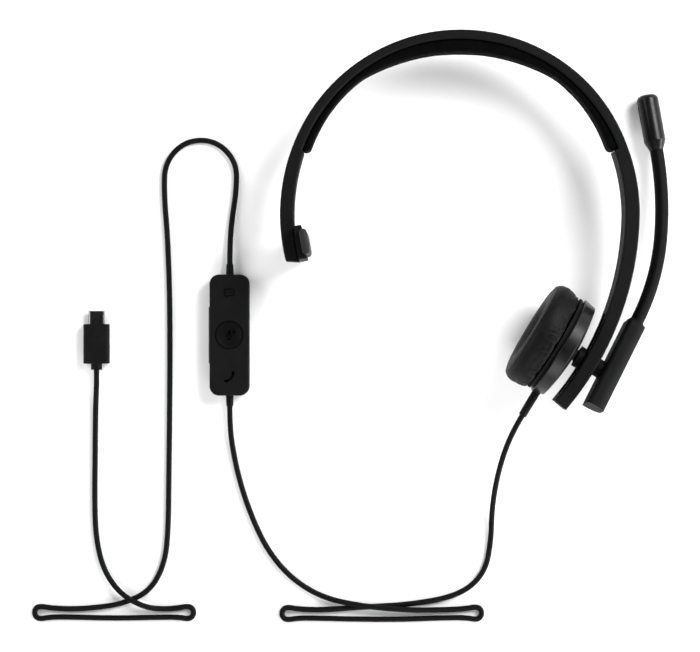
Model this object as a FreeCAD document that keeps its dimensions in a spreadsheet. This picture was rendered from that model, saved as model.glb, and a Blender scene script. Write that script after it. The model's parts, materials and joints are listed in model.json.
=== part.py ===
import FreeCAD, Part
import math
import os
import re
import Sketcher

# A single-sided office headset lying flat on a table: a slotted headband with a temple bar at one
# end, an on-ear cup on a ball-ended neck that slides in the slot, a microphone boom that turns on
# the same neck, and a cord with an in-line remote and a USB-C plug.
# +Z is up from the table. All lengths are millimetres and all angles are degrees.

Vector = FreeCAD.Vector
Z_AXIS = Vector(0, 0, 1)
X_AXIS = Vector(1, 0, 0)

SIZES = {
    # The cup lies on its rim, so every axis of the headset is one cup radius above the table.
    "axis_height": 26.2,
    "fit_gap": 0.05,
    # Headband: the leg with the slot is an arc about (slot_x, slot_y).
    "slot_x": -71.5,
    "slot_y": 5.5,
    "slot_radius": 149.5,
    "leg_thick": 7.2,
    "leg_end_angle": -40.5,
    "leg_top_angle": -0.9,
    "band_wide": 18,
    "band_round": 1.0,
    "leg_blend_outer_radius": 93.5,
    "leg_blend_inner_radius": 94.8,
    "right_outer_x": 75.2,
    "right_outer_y": 37.7,
    "right_outer_radius": 86.35,
    "crown_right_x": 37.2,
    "crown_right_y": 83.0,
    "crown_outer_radius": 89.0,
    "crown_left_x": -84.3,
    "crown_left_y": 50.6,
    "left_outer_radius": 94.4,
    "left_end_outer_x": -94.2,
    "left_end_outer_y": -19.9,
    "left_end_inner_x": -87.3,
    "left_end_inner_y": -20.4,
    "left_inner_radius": 99.06,
    "left_step_x": -85.1,
    "left_step_y": 34.0,
    "left_seat_x": -86.2,
    "left_seat_y": 34.6,
    "seat_side_radius": 85,
    "seat_left_x": -71.85,
    "seat_left_y": 59.8,
    "seat_top_radius": 83.04,
    "seat_right_x": 56.4,
    "seat_right_y": 60.5,
    "right_seat_x": 71.2,
    "right_seat_y": 35.6,
    "right_step_x": 69.0,
    "right_step_y": 34.6,
    # Slot, its wider inner groove, and the cap and pin that close its open end.
    "slot_wide": 7.5,
    "slot_top_angle": -20.6,
    "groove_wide": 12,
    "groove_thick": 3,
    "cap_top_angle": -38.9,
    "stop_pin_radius": 0.75,
    "stop_pin_angle": -39.7,
    # Spring strip let into the band behind the pad, and the two screws of the temple bar.
    "strip_centre_x": -7.7,
    "strip_centre_y": 7.36,
    "strip_inner_radius": 83.6,
    "strip_thick": 0.7,
    "strip_wide": 9,
    "strip_first_angle": 45,
    "strip_last_angle": 135,
    # Pad under the crown of the band.
    "pad_wide": 16.4,
    "pad_end_radius": 3.2,
    "pad_left_x": -81.2,
    "pad_left_y": 36.8,
    "pad_left_radius": 72.8,
    "pad_top_left_x": -55.4,
    "pad_top_left_y": 71.4,
    "pad_top_radius": 95.5,
    "pad_top_right_x": 40.05,
    "pad_top_right_y": 71.6,
    "pad_right_radius": 72.3,
    "pad_right_x": 65.5,
    "pad_right_y": 37.4,
    # Temple bar, in its own frame: x towards the head, y along the band, z along the bar.
    "temple_x": -84.5,
    "temple_y": -10.9,
    "temple_turn": 10.2,
    "temple_long": 52.4,
    "temple_thick": 3.9,
    "temple_wide": 12.6,
    "temple_round": 1.4,
    "holder_long": 45,
    "holder_front": -0.4,
    "holder_back_high": -3.86,
    "holder_back_low": -4.4,
    "holder_high": 8.4,
    "holder_low": -8.1,
    "temple_screw_radius": 1,
    "temple_screw_head_radius": 1.9,
    "temple_screw_head_thick": 1.1,
    "temple_screw_spread": 5.5,
    "temple_screw_head_at": -3.2,
    "temple_screw_end": -8.6,
    # Neck, in the stem frame: x outward along the stem, from the centre of the ball.
    "ball_x": 46.4,
    "ball_y": -64.52,
    "stem_turn": -29.5,
    "ball_radius": 4.5,
    "ball_flat": 3.0,
    "neck_waist_radius": 3.0,
    "collar_start": 5.0,
    "collar_rim_start": 5.4,
    "collar_radius": 5.5,
    "collar_end": 8.35,
    "shaft_radius": 3.5,
    "shoe_half_angle": 2.7,
    "shoe_wide": 11.6,
    "shoe_inner": 1.4,
    "shoe_outer": 1.0,
    "shoe_angle": -30.6,
    "shoe_spring_outer": 1.38,
    "shoe_spring_wide": 11,
    # Boom pivot: the hub turns on the end of the stem, whose axis meets the boom's at the pivot.
    "pivot_out": 24.54,
    "pivot_screw_radius": 1.25,
    "pivot_screw_long": 8,
    "pivot_head_radius": 4.2,
    "pivot_head_thick": 1.3,
    "washer_radius": 6.0,
    "washer_thick": 0.6,
    "washer_seat": 1.4,
    "hub_thick": 9.7,
    "hub_cover_thick": 1.2,
    "hub_half_wide": 9,
    "hub_low": -18.8,
    "hub_high": 28.5,
    "hub_outer_round": 5.5,
    "hub_inner_round": 2.2,
    "hub_boss_radius": 4.6,
    "hub_boss_start": -7.95,
    "hub_boss_flare": 1.1,
    "hub_boss_flare_radius": 5.6,
    "hub_cover_radius": 6.8,
    "washer_pocket_radius": 6.4,
    "hub_lean": 1.9,
    "hub_tip_radius": 4.8,
    "hub_tip_shoulder": 28.9,
    "hub_tip_end": 30.9,
    "boom_rest_angle": -8.9,
    # Boom tube: two tangent arcs in the boom's plane.
    "tube_radius": 3.4,
    "boom_low_centre_x": -117.4,
    "boom_low_centre_y": 28.1,
    "boom_low_radius": 116.4,
    "boom_high_radius": 174.3,
    "boom_start_angle": 1.5,
    "boom_low_joint_angle": 12.5,
    "boom_arc_change_angle": 23.5,
    "boom_high_joint_angle": 29.5,
    "boom_end_angle": 38.2,
    "boom_joint_gap": 0.3,
    # Microphone head, along its own y axis from the end of the tube.
    "mic_radius": 5.5,
    "mic_taper": 4.8,
    "mic_long": 28.8,
    "mic_wall": 1.1,
    "mic_nose": 2.6,
    "mic_slit_wide": 1.4,
    "mic_slit_long": 9,
    "mic_slit_centre": 19,
    "mic_capsule_radius": 3,
    "mic_capsule_thick": 2.6,
    "mic_foam_thick": 1.2,
    # Ear cup, revolved about its own z axis; z runs away from the ear from the rim plane.
    "cup_turn": -31,
    "ball_depth": 6.5,
    "cup_radius": 26.3,
    "cup_rim_depth": 1.1,
    "cup_back_radius": 25.2,
    "cup_back_depth": 7.3,
    "cup_dome_depth": 10.5,
    "cup_dome_sag_radius": 120,
    "cup_wall": 1.8,
    "cup_back_wall": 1.2,
    "cup_dome_drop": 0.9,
    "cup_edge_round": 0.5,
    "socket_radius": 5.5,
    "socket_lip": 3.6,
    "boss_radius": 13,
    "boss_depth": 6.5,
    "liner_outer_radius": 5.45,
    "liner_inner_radius": 4.55,
    "liner_half": 2.6,
    "retainer_low": 2.7,
    "retainer_neck": 3.2,
    "retainer_flange_thick": 1.5,
    "retainer_body_radius": 8.5,
    "retainer_screw_circle": 10.8,
    "small_screw_radius": 0.8,
    "small_head_radius": 1.5,
    "small_head_thick": 0.8,
    "retainer_screw_long": 2.6,
    "baffle_screw_long": 3.2,
    "baffle_hole_long": 4,
    "screw_boss_radius": 2,
    "screw_boss_circle": 20.5,
    "screw_boss_top": 7.2,
    "baffle_thick": 1.6,
    "baffle_radius": 24.3,
    "baffle_hole": 9,
    "ring_outer_radius": 25.5,
    "ring_inner_radius": 13,
    "ring_thick": 1.2,
    "cushion_radius": 26,
    "cushion_front": -15,
    "cushion_round": 6.4,
    "cushion_hole": 13.2,
    "cushion_hole_round": 4.4,
    "driver_radius": 12.6,
    "driver_wall": 0.8,
    "driver_front": -6.2,
    "driver_back": 0.9,
    "magnet_radius": 7.4,
    "magnet_front": -4.2,
    "coil_radius": 8.4,
    "coil_wall": 0.4,
    "coil_front": -5.2,
    "coil_back": -2.4,
    "diaphragm_thick": 0.3,
    "mesh_thick": 0.4,
    "felt_thick": 0.7,
    "felt_outer_radius": 14,
    "board_inner_radius": 14.3,
    "board_outer_radius": 18,
    "board_half_angle": 75,
    "board_depth": 3.6,
    "board_thick": 1,
    # Cord exit of the cup: the boot leaves through the rim, along the cup's -x axis.
    "boot_depth": 3.9,
    "boot_radius": 2.1,
    "boot_tip_radius": 1.95,
    "boot_start": 22.4,
    "boot_end": 39.4,
    "boot_flange_radius": 2.25,
    "boot_flange_end": 23.6,
    "clamp_long": 3.2,
    "clamp_wide": 7,
    "clamp_high": 4.1,
    "clamp_low": 1.7,
    # In-line remote, lying on its back.
    "remote_x": -123.6,
    "remote_y": -56.85,
    "remote_wide": 20.1,
    "remote_long": 61.6,
    "remote_corner": 4.8,
    "remote_shell_high": 8.4,
    "remote_wall": 1.5,
    "remote_bevel": 0.9,
    "plate_gap": 0.3,
    "plate_low": 6.9,
    "plate_high": 9.9,
    "plate_round": 0.7,
    "plate_rim_low": 9.0,
    "plate_rim_inset": 0.1,
    "case_bevel": 0.3,
    "button_bevel": 0.25,
    "mute_radius": 7.05,
    "mute_gap": 0.22,
    "mute_low": 6.2,
    "mute_high": 9.75,
    "mute_dish_radius": 32,
    "mute_dish_rim": 6.3,
    "volume_long": 29,
    "volume_proud": 0.65,
    "volume_deep": 2.4,
    "volume_low": 2.4,
    "volume_high": 6.1,
    "volume_gap": 0.3,
    "volume_pin_in": 0.75,
    "volume_pin_out": 0.65,
    "key_pin_height": 7.6,
    "key_pin_start": 7.7,
    "key_pin_end": 9.2,
    "pin_radius": 0.5,
    "remote_board_thick": 1.0,
    "remote_board_wide": 14.6,
    "remote_board_long": 50,
    "switch_side": 3.6,
    "switch_high": 1.7,
    "volume_switch_x": -6.6,
    "volume_switch_wide": 1.8,
    "volume_reach": 11,
    "key_reach": 21,
    "key_post_radius": 1.4,
    "key_post_gap": 0.42,
    "mute_travel": 0.5,
    "remote_floor": 1.4,
    "remote_screw_reach": 27.6,
    "remote_boss_radius": 2,
    "remote_boss_high": 3.6,
    "remote_screw_long": 3,
    "remote_screw_sink": 0.2,
    "collar_tube_radius": 2,
    "collar_tip_radius": 1.75,
    "remote_collar_long": 5.4,
    "remote_cord_height": 3.4,
    # USB-C plug, lying flat.
    "plug_x": -191.65,
    "plug_tip_y": -44.6,
    "plug_wide": 13.1,
    "plug_long": 20.2,
    "plug_high": 6.4,
    "plug_shell_wide": 8.25,
    "plug_shell_high": 2.4,
    "plug_shell_wall": 0.3,
    "plug_shell_out": 6.65,
    "plug_shell_in": 3,
    "plug_round": 1.8,
    "plug_edge": 0.45,
    "plug_collar_radius": 2.8,
    "plug_collar_long": 3.1,
    "plug_board_wide": 8,
    "plug_board_long": 9,
    "plug_board_thick": 0.8,
    "plug_tongue_start": 4,
    "cord_radius": 1.4,
}

doc = FreeCAD.newDocument("OfficeHeadset")
sheet = doc.addObject("Spreadsheet::Sheet", "Sizes")
for row, (alias, number) in enumerate(SIZES.items(), start=1):
    sheet.set(f"A{row}", alias)
    sheet.set(f"B{row}", str(number))
    sheet.setAlias(f"B{row}", alias)
doc.recompute()

NODES = []


def formula(text):
    """Point every size named in an expression at its cell in the sheet."""
    def cell(match):
        word = match.group(0)
        return "Sizes." + word if word in SIZES else word
    return re.sub(r"[a-z_][a-z_0-9]*", cell, str(text))


def value(text):
    """The number that an expression has now."""
    return float(sheet.evalExpression(formula(text)))


def bind(thing, **sizes):
    for name, text in sizes.items():
        thing.setExpression(name, formula(text))


def place(x="0", y="0", z="0", turn="0", axis=Z_AXIS):
    return FreeCAD.Placement(Vector(value(x), value(y), value(z)),
                             FreeCAD.Rotation(axis, value(turn)))


def keep(thing, label, frame=FreeCAD.Placement()):
    """Name a finished sub-part, so that it is written out under its label."""
    thing.Label = label
    thing.Placement = frame
    NODES.append(thing)
    return thing


def stock(name, frame):
    """A PartDesign body that a later boolean finishes."""
    made = doc.addObject("PartDesign::Body", name)
    made.Placement = frame
    return made


def body(label, frame):
    return keep(doc.addObject("PartDesign::Body", label), label, frame)


def sketch(owner, name, role="XY_Plane", offset=None):
    flat = owner.newObject("Sketcher::SketchObject", owner.Name + "_" + name)
    plane = [f for f in owner.Origin.OriginFeatures if f.Role == role][0]
    flat.AttachmentSupport = [(plane, "")]
    flat.MapMode = "FlatFace"
    if offset is not None:
        flat.setExpression("AttachmentOffset.Base.z", formula(offset))
    return flat


def fix_point(flat, edge, end, x, y):
    for kind, text in (("DistanceX", x), ("DistanceY", y)):
        at = flat.addConstraint(Sketcher.Constraint(kind, -1, 1, edge, end, value(text)))
        flat.setExpression(f"Constraints[{at}]", formula(text))


def outline(flat, corners):
    """A closed outline. A corner is (x, y), or (x, y, radius) where an arc leads to the next
    corner: a positive radius turns left and a negative one turns right."""
    first = flat.GeometryCount
    ends = []
    for number, corner in enumerate(corners):
        after = corners[(number + 1) % len(corners)]
        begin = Vector(value(corner[0]), value(corner[1]), 0)
        finish = Vector(value(after[0]), value(after[1]), 0)
        if len(corner) == 2:
            flat.addGeometry(Part.LineSegment(begin, finish), False)
            ends.append((1, 2))
            continue
        radius = value(corner[2])
        chord = finish - begin
        left = Vector(-chord.y, chord.x, 0).normalize()
        reach = math.sqrt(max(0, radius ** 2 - (chord.Length / 2) ** 2))
        centre = begin + chord * 0.5 + left * math.copysign(reach, radius)
        begin_angle = math.atan2(begin.y - centre.y, begin.x - centre.x)
        finish_angle = math.atan2(finish.y - centre.y, finish.x - centre.x)
        ring = Part.Circle(centre, Z_AXIS, abs(radius))
        if radius > 0:
            flat.addGeometry(Part.ArcOfCircle(ring, begin_angle, finish_angle), False)
            ends.append((1, 2))
        else:
            flat.addGeometry(Part.ArcOfCircle(ring, finish_angle, begin_angle), False)
            ends.append((2, 1))
    for number, corner in enumerate(corners):
        edge = first + number
        after = (number + 1) % len(corners)
        flat.addConstraint(Sketcher.Constraint("Coincident", edge, ends[number][1],
                                               first + after, ends[after][0]))
        fix_point(flat, edge, ends[number][0], corner[0], corner[1])
        if len(corner) == 3:
            size = corner[2].lstrip("-")
            at = flat.addConstraint(Sketcher.Constraint("Radius", edge, value(size)))
            flat.setExpression(f"Constraints[{at}]", formula(size))


def box_outline(flat, left, low, right, high):
    outline(flat, [(left, low), (right, low), (right, high), (left, high)])


def circle(flat, x, y, radius):
    edge = flat.addGeometry(Part.Circle(Vector(value(x), value(y), 0), Z_AXIS, value(radius)), False)
    fix_point(flat, edge, 3, x, y)
    at = flat.addConstraint(Sketcher.Constraint("Radius", edge, value(radius)))
    flat.setExpression(f"Constraints[{at}]", formula(radius))


def feature(owner, kind, name, flat, **sizes):
    made = owner.newObject("PartDesign::" + kind, owner.Name + "_" + name)
    made.Profile = flat
    bind(made, **sizes)
    flat.Visibility = False
    return made


def pad(owner, name, flat, length, both=False):
    made = feature(owner, "Pad", name, flat, Length=length)
    if both:
        made.SideType = "Symmetric"
    doc.recompute()
    return made


def cut(owner, name, flat, length, both=False, back=False):
    """A pocket. It is checked to have taken material away."""
    before = owner.Shape.Volume
    made = feature(owner, "Pocket", name, flat, Length=length)
    made.Reversed = back
    if both:
        made.SideType = "Symmetric"
    doc.recompute()
    if owner.Shape.Volume > before - 1e-6:
        raise RuntimeError(made.Name + " cuts nothing")
    return made


def revolve(owner, name, flat, axis="V_Axis"):
    made = feature(owner, "Revolution", name, flat)
    made.ReferenceAxis = (flat, [axis])
    made.Angle = 360
    doc.recompute()
    return made


def soften(owner, kind, name, base, size, chosen):
    """A fillet or chamfer on the edges of a feature that pass a test."""
    names = [f"Edge{i}" for i, e in enumerate(base.Shape.Edges, start=1) if chosen(e)]
    made = owner.newObject("PartDesign::" + kind, owner.Name + "_" + name)
    made.Base = (base, names)
    bind(made, **{"Radius" if kind == "Fillet" else "Size": size})
    doc.recompute()
    return made


def level(edge, height):
    box = edge.BoundBox
    return abs(box.ZMin - height) < 1e-4 and abs(box.ZMax - height) < 1e-4


def turned(label, frame, profile, axis="V_Axis", role="XZ_Plane"):
    """A piece of revolution. The profile lists (radius, height) corners."""
    made = body(label, frame)
    flat = sketch(made, "profile", role)
    outline(flat, profile)
    revolve(made, "turn", flat, axis)
    return made


def block(name, frame, length, width, height, x="0", y="0", z="0"):
    """A box centred on x and y that stands on z, in a frame."""
    made = doc.addObject("Part::Box", name)
    bind(made, Length=length, Width=width, Height=height)
    corner = place(f"{x} - ({length}) / 2", f"{y} - ({width}) / 2", z)
    made.Placement = frame.multiply(corner)
    return made


def rod(name, frame, radius, height, x="0", y="0", z="0", axis=Z_AXIS):
    """A cylinder that stands on a point, along an axis of a frame."""
    made = doc.addObject("Part::Cylinder", name)
    bind(made, Radius=radius, Height=height)
    aim = FreeCAD.Placement(Vector(value(x), value(y), value(z)), FreeCAD.Rotation(Z_AXIS, axis))
    made.Placement = frame.multiply(aim)
    return made


def cone(name, frame, low_radius, high_radius, height, x="0", y="0", z="0", axis=Z_AXIS):
    made = doc.addObject("Part::Cone", name)
    bind(made, Radius1=low_radius, Radius2=high_radius, Height=height)
    aim = FreeCAD.Placement(Vector(value(x), value(y), value(z)), FreeCAD.Rotation(Z_AXIS, axis))
    made.Placement = frame.multiply(aim)
    return made


def ball(name, frame, radius, x="0", y="0"):
    made = doc.addObject("Part::Sphere", name)
    bind(made, Radius=radius)
    made.Placement = frame.multiply(place(x, y))
    return made


def fused(name, shapes):
    made = doc.addObject("Part::MultiFuse", name)
    made.Shapes = shapes
    return made


def grouped(name, shapes):
    made = doc.addObject("Part::Compound", name)
    made.Links = shapes
    return made


def less(name, base, tool):
    made = doc.addObject("Part::Cut", name)
    made.Base = base
    made.Tool = tool
    return made


def shared(name, base, tool):
    made = doc.addObject("Part::Common", name)
    made.Base = base
    made.Tool = tool
    return made


def rounded_outline(flat, half_x, half_y, radius):
    """A rectangle about the origin with rounded corners."""
    near_x = f"{half_x} - ({radius})"
    near_y = f"{half_y} - ({radius})"
    outline(flat, [
        ("-(" + near_x + ")", "-(" + half_y + ")"), (near_x, "-(" + half_y + ")", radius),
        (half_x, "-(" + near_y + ")"), (half_x, near_y, radius),
        (near_x, half_y), ("-(" + near_x + ")", half_y, radius),
        ("-(" + half_x + ")", near_y), ("-(" + half_x + ")", "-(" + near_y + ")", radius),
    ])


def ring_piece(centre_x, centre_y, inner, outer, first, last):
    """Corners of a piece of a flat ring, between two radii and two angles."""
    def on_ring(radius, angle):
        return (f"{centre_x} + ({radius}) * cos({angle})", f"{centre_y} + ({radius}) * sin({angle})")
    return [(*on_ring(outer, first), outer), on_ring(outer, last),
            (*on_ring(inner, last), "-(" + inner + ")"), on_ring(inner, first)]


# Frames. The headset's frames stand at the height of the cup's axis.
band_frame = place(z="axis_height")
temple_frame = place("temple_x", "temple_y", "0", "temple_turn")
stem_frame = place("ball_x", "ball_y", "axis_height", "stem_turn")
cup_axis = Vector(math.cos(math.radians(value("cup_turn"))), math.sin(math.radians(value("cup_turn"))), 0)
cup_side = Vector(-cup_axis.y, cup_axis.x, 0)
cup_turn = FreeCAD.Rotation(cup_side, Z_AXIS, cup_axis, "ZYX")
ball_centre = stem_frame.Base
cup_frame = FreeCAD.Placement(ball_centre - cup_axis * value("ball_depth"), cup_turn)
pivot_frame = stem_frame.multiply(place("pivot_out"))
boom_frame = pivot_frame.multiply(place(turn="boom_rest_angle", axis=X_AXIS))
hub_frame = boom_frame.multiply(place(turn="hub_lean"))
remote_frame = place("remote_x", "remote_y")
plug_frame = place("plug_x", "plug_tip_y", "plug_high / 2")


def on_slot(radius, angle):
    return (f"slot_x + ({radius}) * cos({angle})", f"slot_y + ({radius}) * sin({angle})")


def slot_piece(inner, outer, first, last):
    return ring_piece("slot_x", "slot_y", inner, outer, first, last)


def strip_piece(inner, outer, first, last):
    return ring_piece("strip_centre_x", "strip_centre_y", inner, outer, first, last)


LEG_OUTER = "slot_radius + leg_thick / 2"
LEG_INNER = "slot_radius - leg_thick / 2"


def build_headband():
    band = stock("band_bar", band_frame)
    flat = sketch(band, "outline")
    outline(flat, [
        (*on_slot(LEG_OUTER, "leg_end_angle"), LEG_OUTER),
        (*on_slot(LEG_OUTER, "leg_top_angle"), "leg_blend_outer_radius"),
        ("right_outer_x", "right_outer_y", "right_outer_radius"),
        ("crown_right_x", "crown_right_y", "crown_outer_radius"),
        ("crown_left_x", "crown_left_y", "left_outer_radius"),
        ("left_end_outer_x", "left_end_outer_y"),
        ("left_end_inner_x", "left_end_inner_y", "-left_inner_radius"),
        ("left_step_x", "left_step_y"),
        ("left_seat_x", "left_seat_y", "-seat_side_radius"),
        ("seat_left_x", "seat_left_y", "-seat_top_radius"),
        ("seat_right_x", "seat_right_y", "-seat_side_radius"),
        ("right_seat_x", "right_seat_y"),
        ("right_step_x", "right_step_y", "-leg_blend_inner_radius"),
        (*on_slot(LEG_INNER, "leg_top_angle"), "-(" + LEG_INNER + ")"),
        on_slot(LEG_INNER, "leg_end_angle"),
    ])
    solid = pad(band, "bar", flat, "band_wide", both=True)
    half = value("band_wide") / 2
    soften(band, "Fillet", "edges", solid, "band_round",
           lambda e: e.Length > 20 and (level(e, half) or level(e, -half)))
    slot = sketch(band, "slot")
    outline(slot, slot_piece("slot_radius - leg_thick", "slot_radius + leg_thick",
                             "leg_end_angle - 1", "slot_top_angle"))
    cut(band, "through_slot", slot, "slot_wide", both=True)
    groove = sketch(band, "groove")
    outline(groove, slot_piece("slot_radius - groove_thick / 2", "slot_radius + groove_thick / 2",
                               "leg_end_angle - 1", "slot_top_angle"))
    cut(band, "inner_groove", groove, "groove_wide", both=True)
    seat = sketch(band, "strip_seat")
    outline(seat, strip_piece("strip_inner_radius - 1", "strip_inner_radius + strip_thick + fit_gap",
                                "strip_first_angle - 0.5", "strip_last_angle + 0.5"))
    cut(band, "strip_recess", seat, "strip_wide + 2 * fit_gap", both=True)
    keep(less("headband", band, fused("band_screw_holes", temple_screws("band_hole", "fit_gap"))),
         "headband")


def build_band_inserts():
    strip = body("band_spring_strip", band_frame)
    flat = sketch(strip, "outline")
    outline(flat, strip_piece("strip_inner_radius", "strip_inner_radius + strip_thick",
                                "strip_first_angle", "strip_last_angle"))
    pad(strip, "blade", flat, "strip_wide", both=True)

    cushion = body("headband_pad", band_frame)
    flat = sketch(cushion, "outline")
    outline(flat, [
        ("right_seat_x", "right_seat_y", "seat_side_radius"),
        ("seat_right_x", "seat_right_y", "seat_top_radius"),
        ("seat_left_x", "seat_left_y", "seat_side_radius"),
        ("left_seat_x", "left_seat_y"),
        ("left_step_x", "left_step_y", "pad_end_radius"),
        ("pad_left_x", "pad_left_y", "-pad_left_radius"),
        ("pad_top_left_x", "pad_top_left_y", "-pad_top_radius"),
        ("pad_top_right_x", "pad_top_right_y", "-pad_right_radius"),
        ("pad_right_x", "pad_right_y", "pad_end_radius"),
        ("right_step_x", "right_step_y"),
    ])
    pad(cushion, "foam", flat, "pad_wide", both=True)

    cap = body("band_end_cap", band_frame)
    flat = sketch(cap, "plug")
    outline(flat, slot_piece("slot_radius - groove_thick / 2 + fit_gap",
                             "slot_radius + groove_thick / 2 - fit_gap",
                             "leg_end_angle", "cap_top_angle"))
    pad(cap, "wide_block", flat, "groove_wide - 2 * fit_gap", both=True)
    flat = sketch(cap, "tongue")
    outline(flat, slot_piece(LEG_INNER, LEG_OUTER, "leg_end_angle", "cap_top_angle"))
    pad(cap, "slot_block", flat, "slot_wide - 2 * fit_gap", both=True)
    flat = sketch(cap, "pin_hole")
    circle(flat, *on_slot("slot_radius", "stop_pin_angle"), "stop_pin_radius + fit_gap / 2")
    cut(cap, "pin_bore", flat, "band_wide", both=True)

    pin = body("slider_stop_pin", band_frame)
    flat = sketch(pin, "section")
    circle(flat, *on_slot("slot_radius", "stop_pin_angle"), "stop_pin_radius")
    pad(pin, "pin", flat, "groove_wide - 4 * fit_gap", both=True)


def build_temple_bar():
    bar = body("temple_bar_pad", temple_frame)
    flat = sketch(bar, "section")
    box_outline(flat, "-temple_thick / 2", "-temple_wide / 2", "temple_thick / 2", "temple_wide / 2")
    solid = pad(bar, "bar", flat, "temple_long")
    front = value("temple_thick") / 2
    top = value("temple_long")
    soften(bar, "Fillet", "rounding", solid, "temple_round",
           lambda e: e.BoundBox.XMin > front - 1e-4 or (level(e, top) and e.BoundBox.XMin > -front + 1))

    holder = stock("holder_block", temple_frame)
    flat = sketch(holder, "section", offset="(temple_long - holder_long) / 2")
    back = "-temple_thick / 2 - fit_gap"
    seat = "temple_wide / 2 + fit_gap"
    outline(flat, [
        ("holder_back_high", "holder_high", "left_inner_radius"),
        ("holder_back_low", "holder_low"),
        ("holder_front", "holder_low"),
        ("holder_front", "-(" + seat + ")"),
        (back, "-(" + seat + ")"),
        (back, seat),
        ("holder_front", seat),
        ("holder_front", "holder_high"),
    ])
    pad(holder, "block", flat, "holder_long")
    holes = fused("holder_screw_holes", temple_screws("holder_hole", "fit_gap"))
    keep(less("temple_bar_holder", holder, holes), "temple_bar_holder")
    keep(fused("temple_bar_screws", temple_screws("temple_screw", "0")), "temple_bar_screws")


def temple_screws(name, grow):
    """Two screws, put in from under the pad, that hold the temple bar's holder to the band."""
    pieces = []
    for number, side in enumerate(("-1", "1")):
        height = f"axis_height + ({side}) * temple_screw_spread"
        pieces.append(rod(f"{name}_shank_{number}", temple_frame, f"temple_screw_radius + {grow}",
                          f"temple_screw_head_at - temple_screw_end + {grow}",
                          f"temple_screw_end - {grow}", "0", height, X_AXIS))
        pieces.append(rod(f"{name}_head_{number}", temple_frame, f"temple_screw_head_radius + {grow}",
                          f"temple_screw_head_thick + 2 * {grow}", f"temple_screw_head_at - {grow}",
                          "0", height, X_AXIS))
    return pieces


def build_neck():
    waist_start = "sqrt(ball_radius ^ 2 - neck_waist_radius ^ 2)"
    stem_end = "pivot_out + washer_seat"
    bore = "pivot_screw_radius + fit_gap"
    bore_end = stem_end + " - pivot_screw_long - fit_gap"
    turned("neck_stem", stem_frame, [
        ("-ball_flat", "0"),
        (bore_end, "0"),
        (bore_end, bore),
        (stem_end, bore),
        (stem_end, "shaft_radius"),
        ("collar_end", "shaft_radius"),
        ("collar_end", "collar_radius"),
        ("collar_rim_start", "collar_radius"),
        ("collar_start", "neck_waist_radius"),
        (waist_start, "neck_waist_radius", "ball_radius"),
        ("-ball_flat", "sqrt(ball_radius ^ 2 - ball_flat ^ 2)"),
    ], "H_Axis", "XY_Plane")

    liner_inner = "sqrt(liner_inner_radius ^ 2 - liner_half ^ 2)"
    liner_outer = "sqrt(liner_outer_radius ^ 2 - liner_half ^ 2)"
    turned("ball_liner", stem_frame, [
        ("liner_half", liner_inner),
        ("liner_half", liner_outer, "liner_outer_radius"),
        ("-liner_half", liner_outer),
        ("-liner_half", liner_inner, "-liner_inner_radius"),
    ], "H_Axis", "XY_Plane")

    first = "shoe_angle - shoe_half_angle"
    last = "shoe_angle + shoe_half_angle"
    leaves = (("slider_shoe", "slot_radius - shoe_inner", "slot_radius + shoe_outer", "shoe_wide"),
              ("shoe_friction_spring", "slot_radius + shoe_outer + fit_gap / 2",
               "slot_radius + shoe_spring_outer", "shoe_spring_wide"))
    for label, inner, outer, wide in leaves:
        blank = stock(label + "_blank", band_frame)
        flat = sketch(blank, "outline")
        outline(flat, slot_piece(inner, outer, first, last))
        pad(blank, "plate", flat, wide, both=True)
        hole = rod(label + "_hole", stem_frame, "shaft_radius + fit_gap", "shaft_radius * 4",
                   "collar_end", axis=X_AXIS)
        keep(less(label, blank, hole), label)


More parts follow.
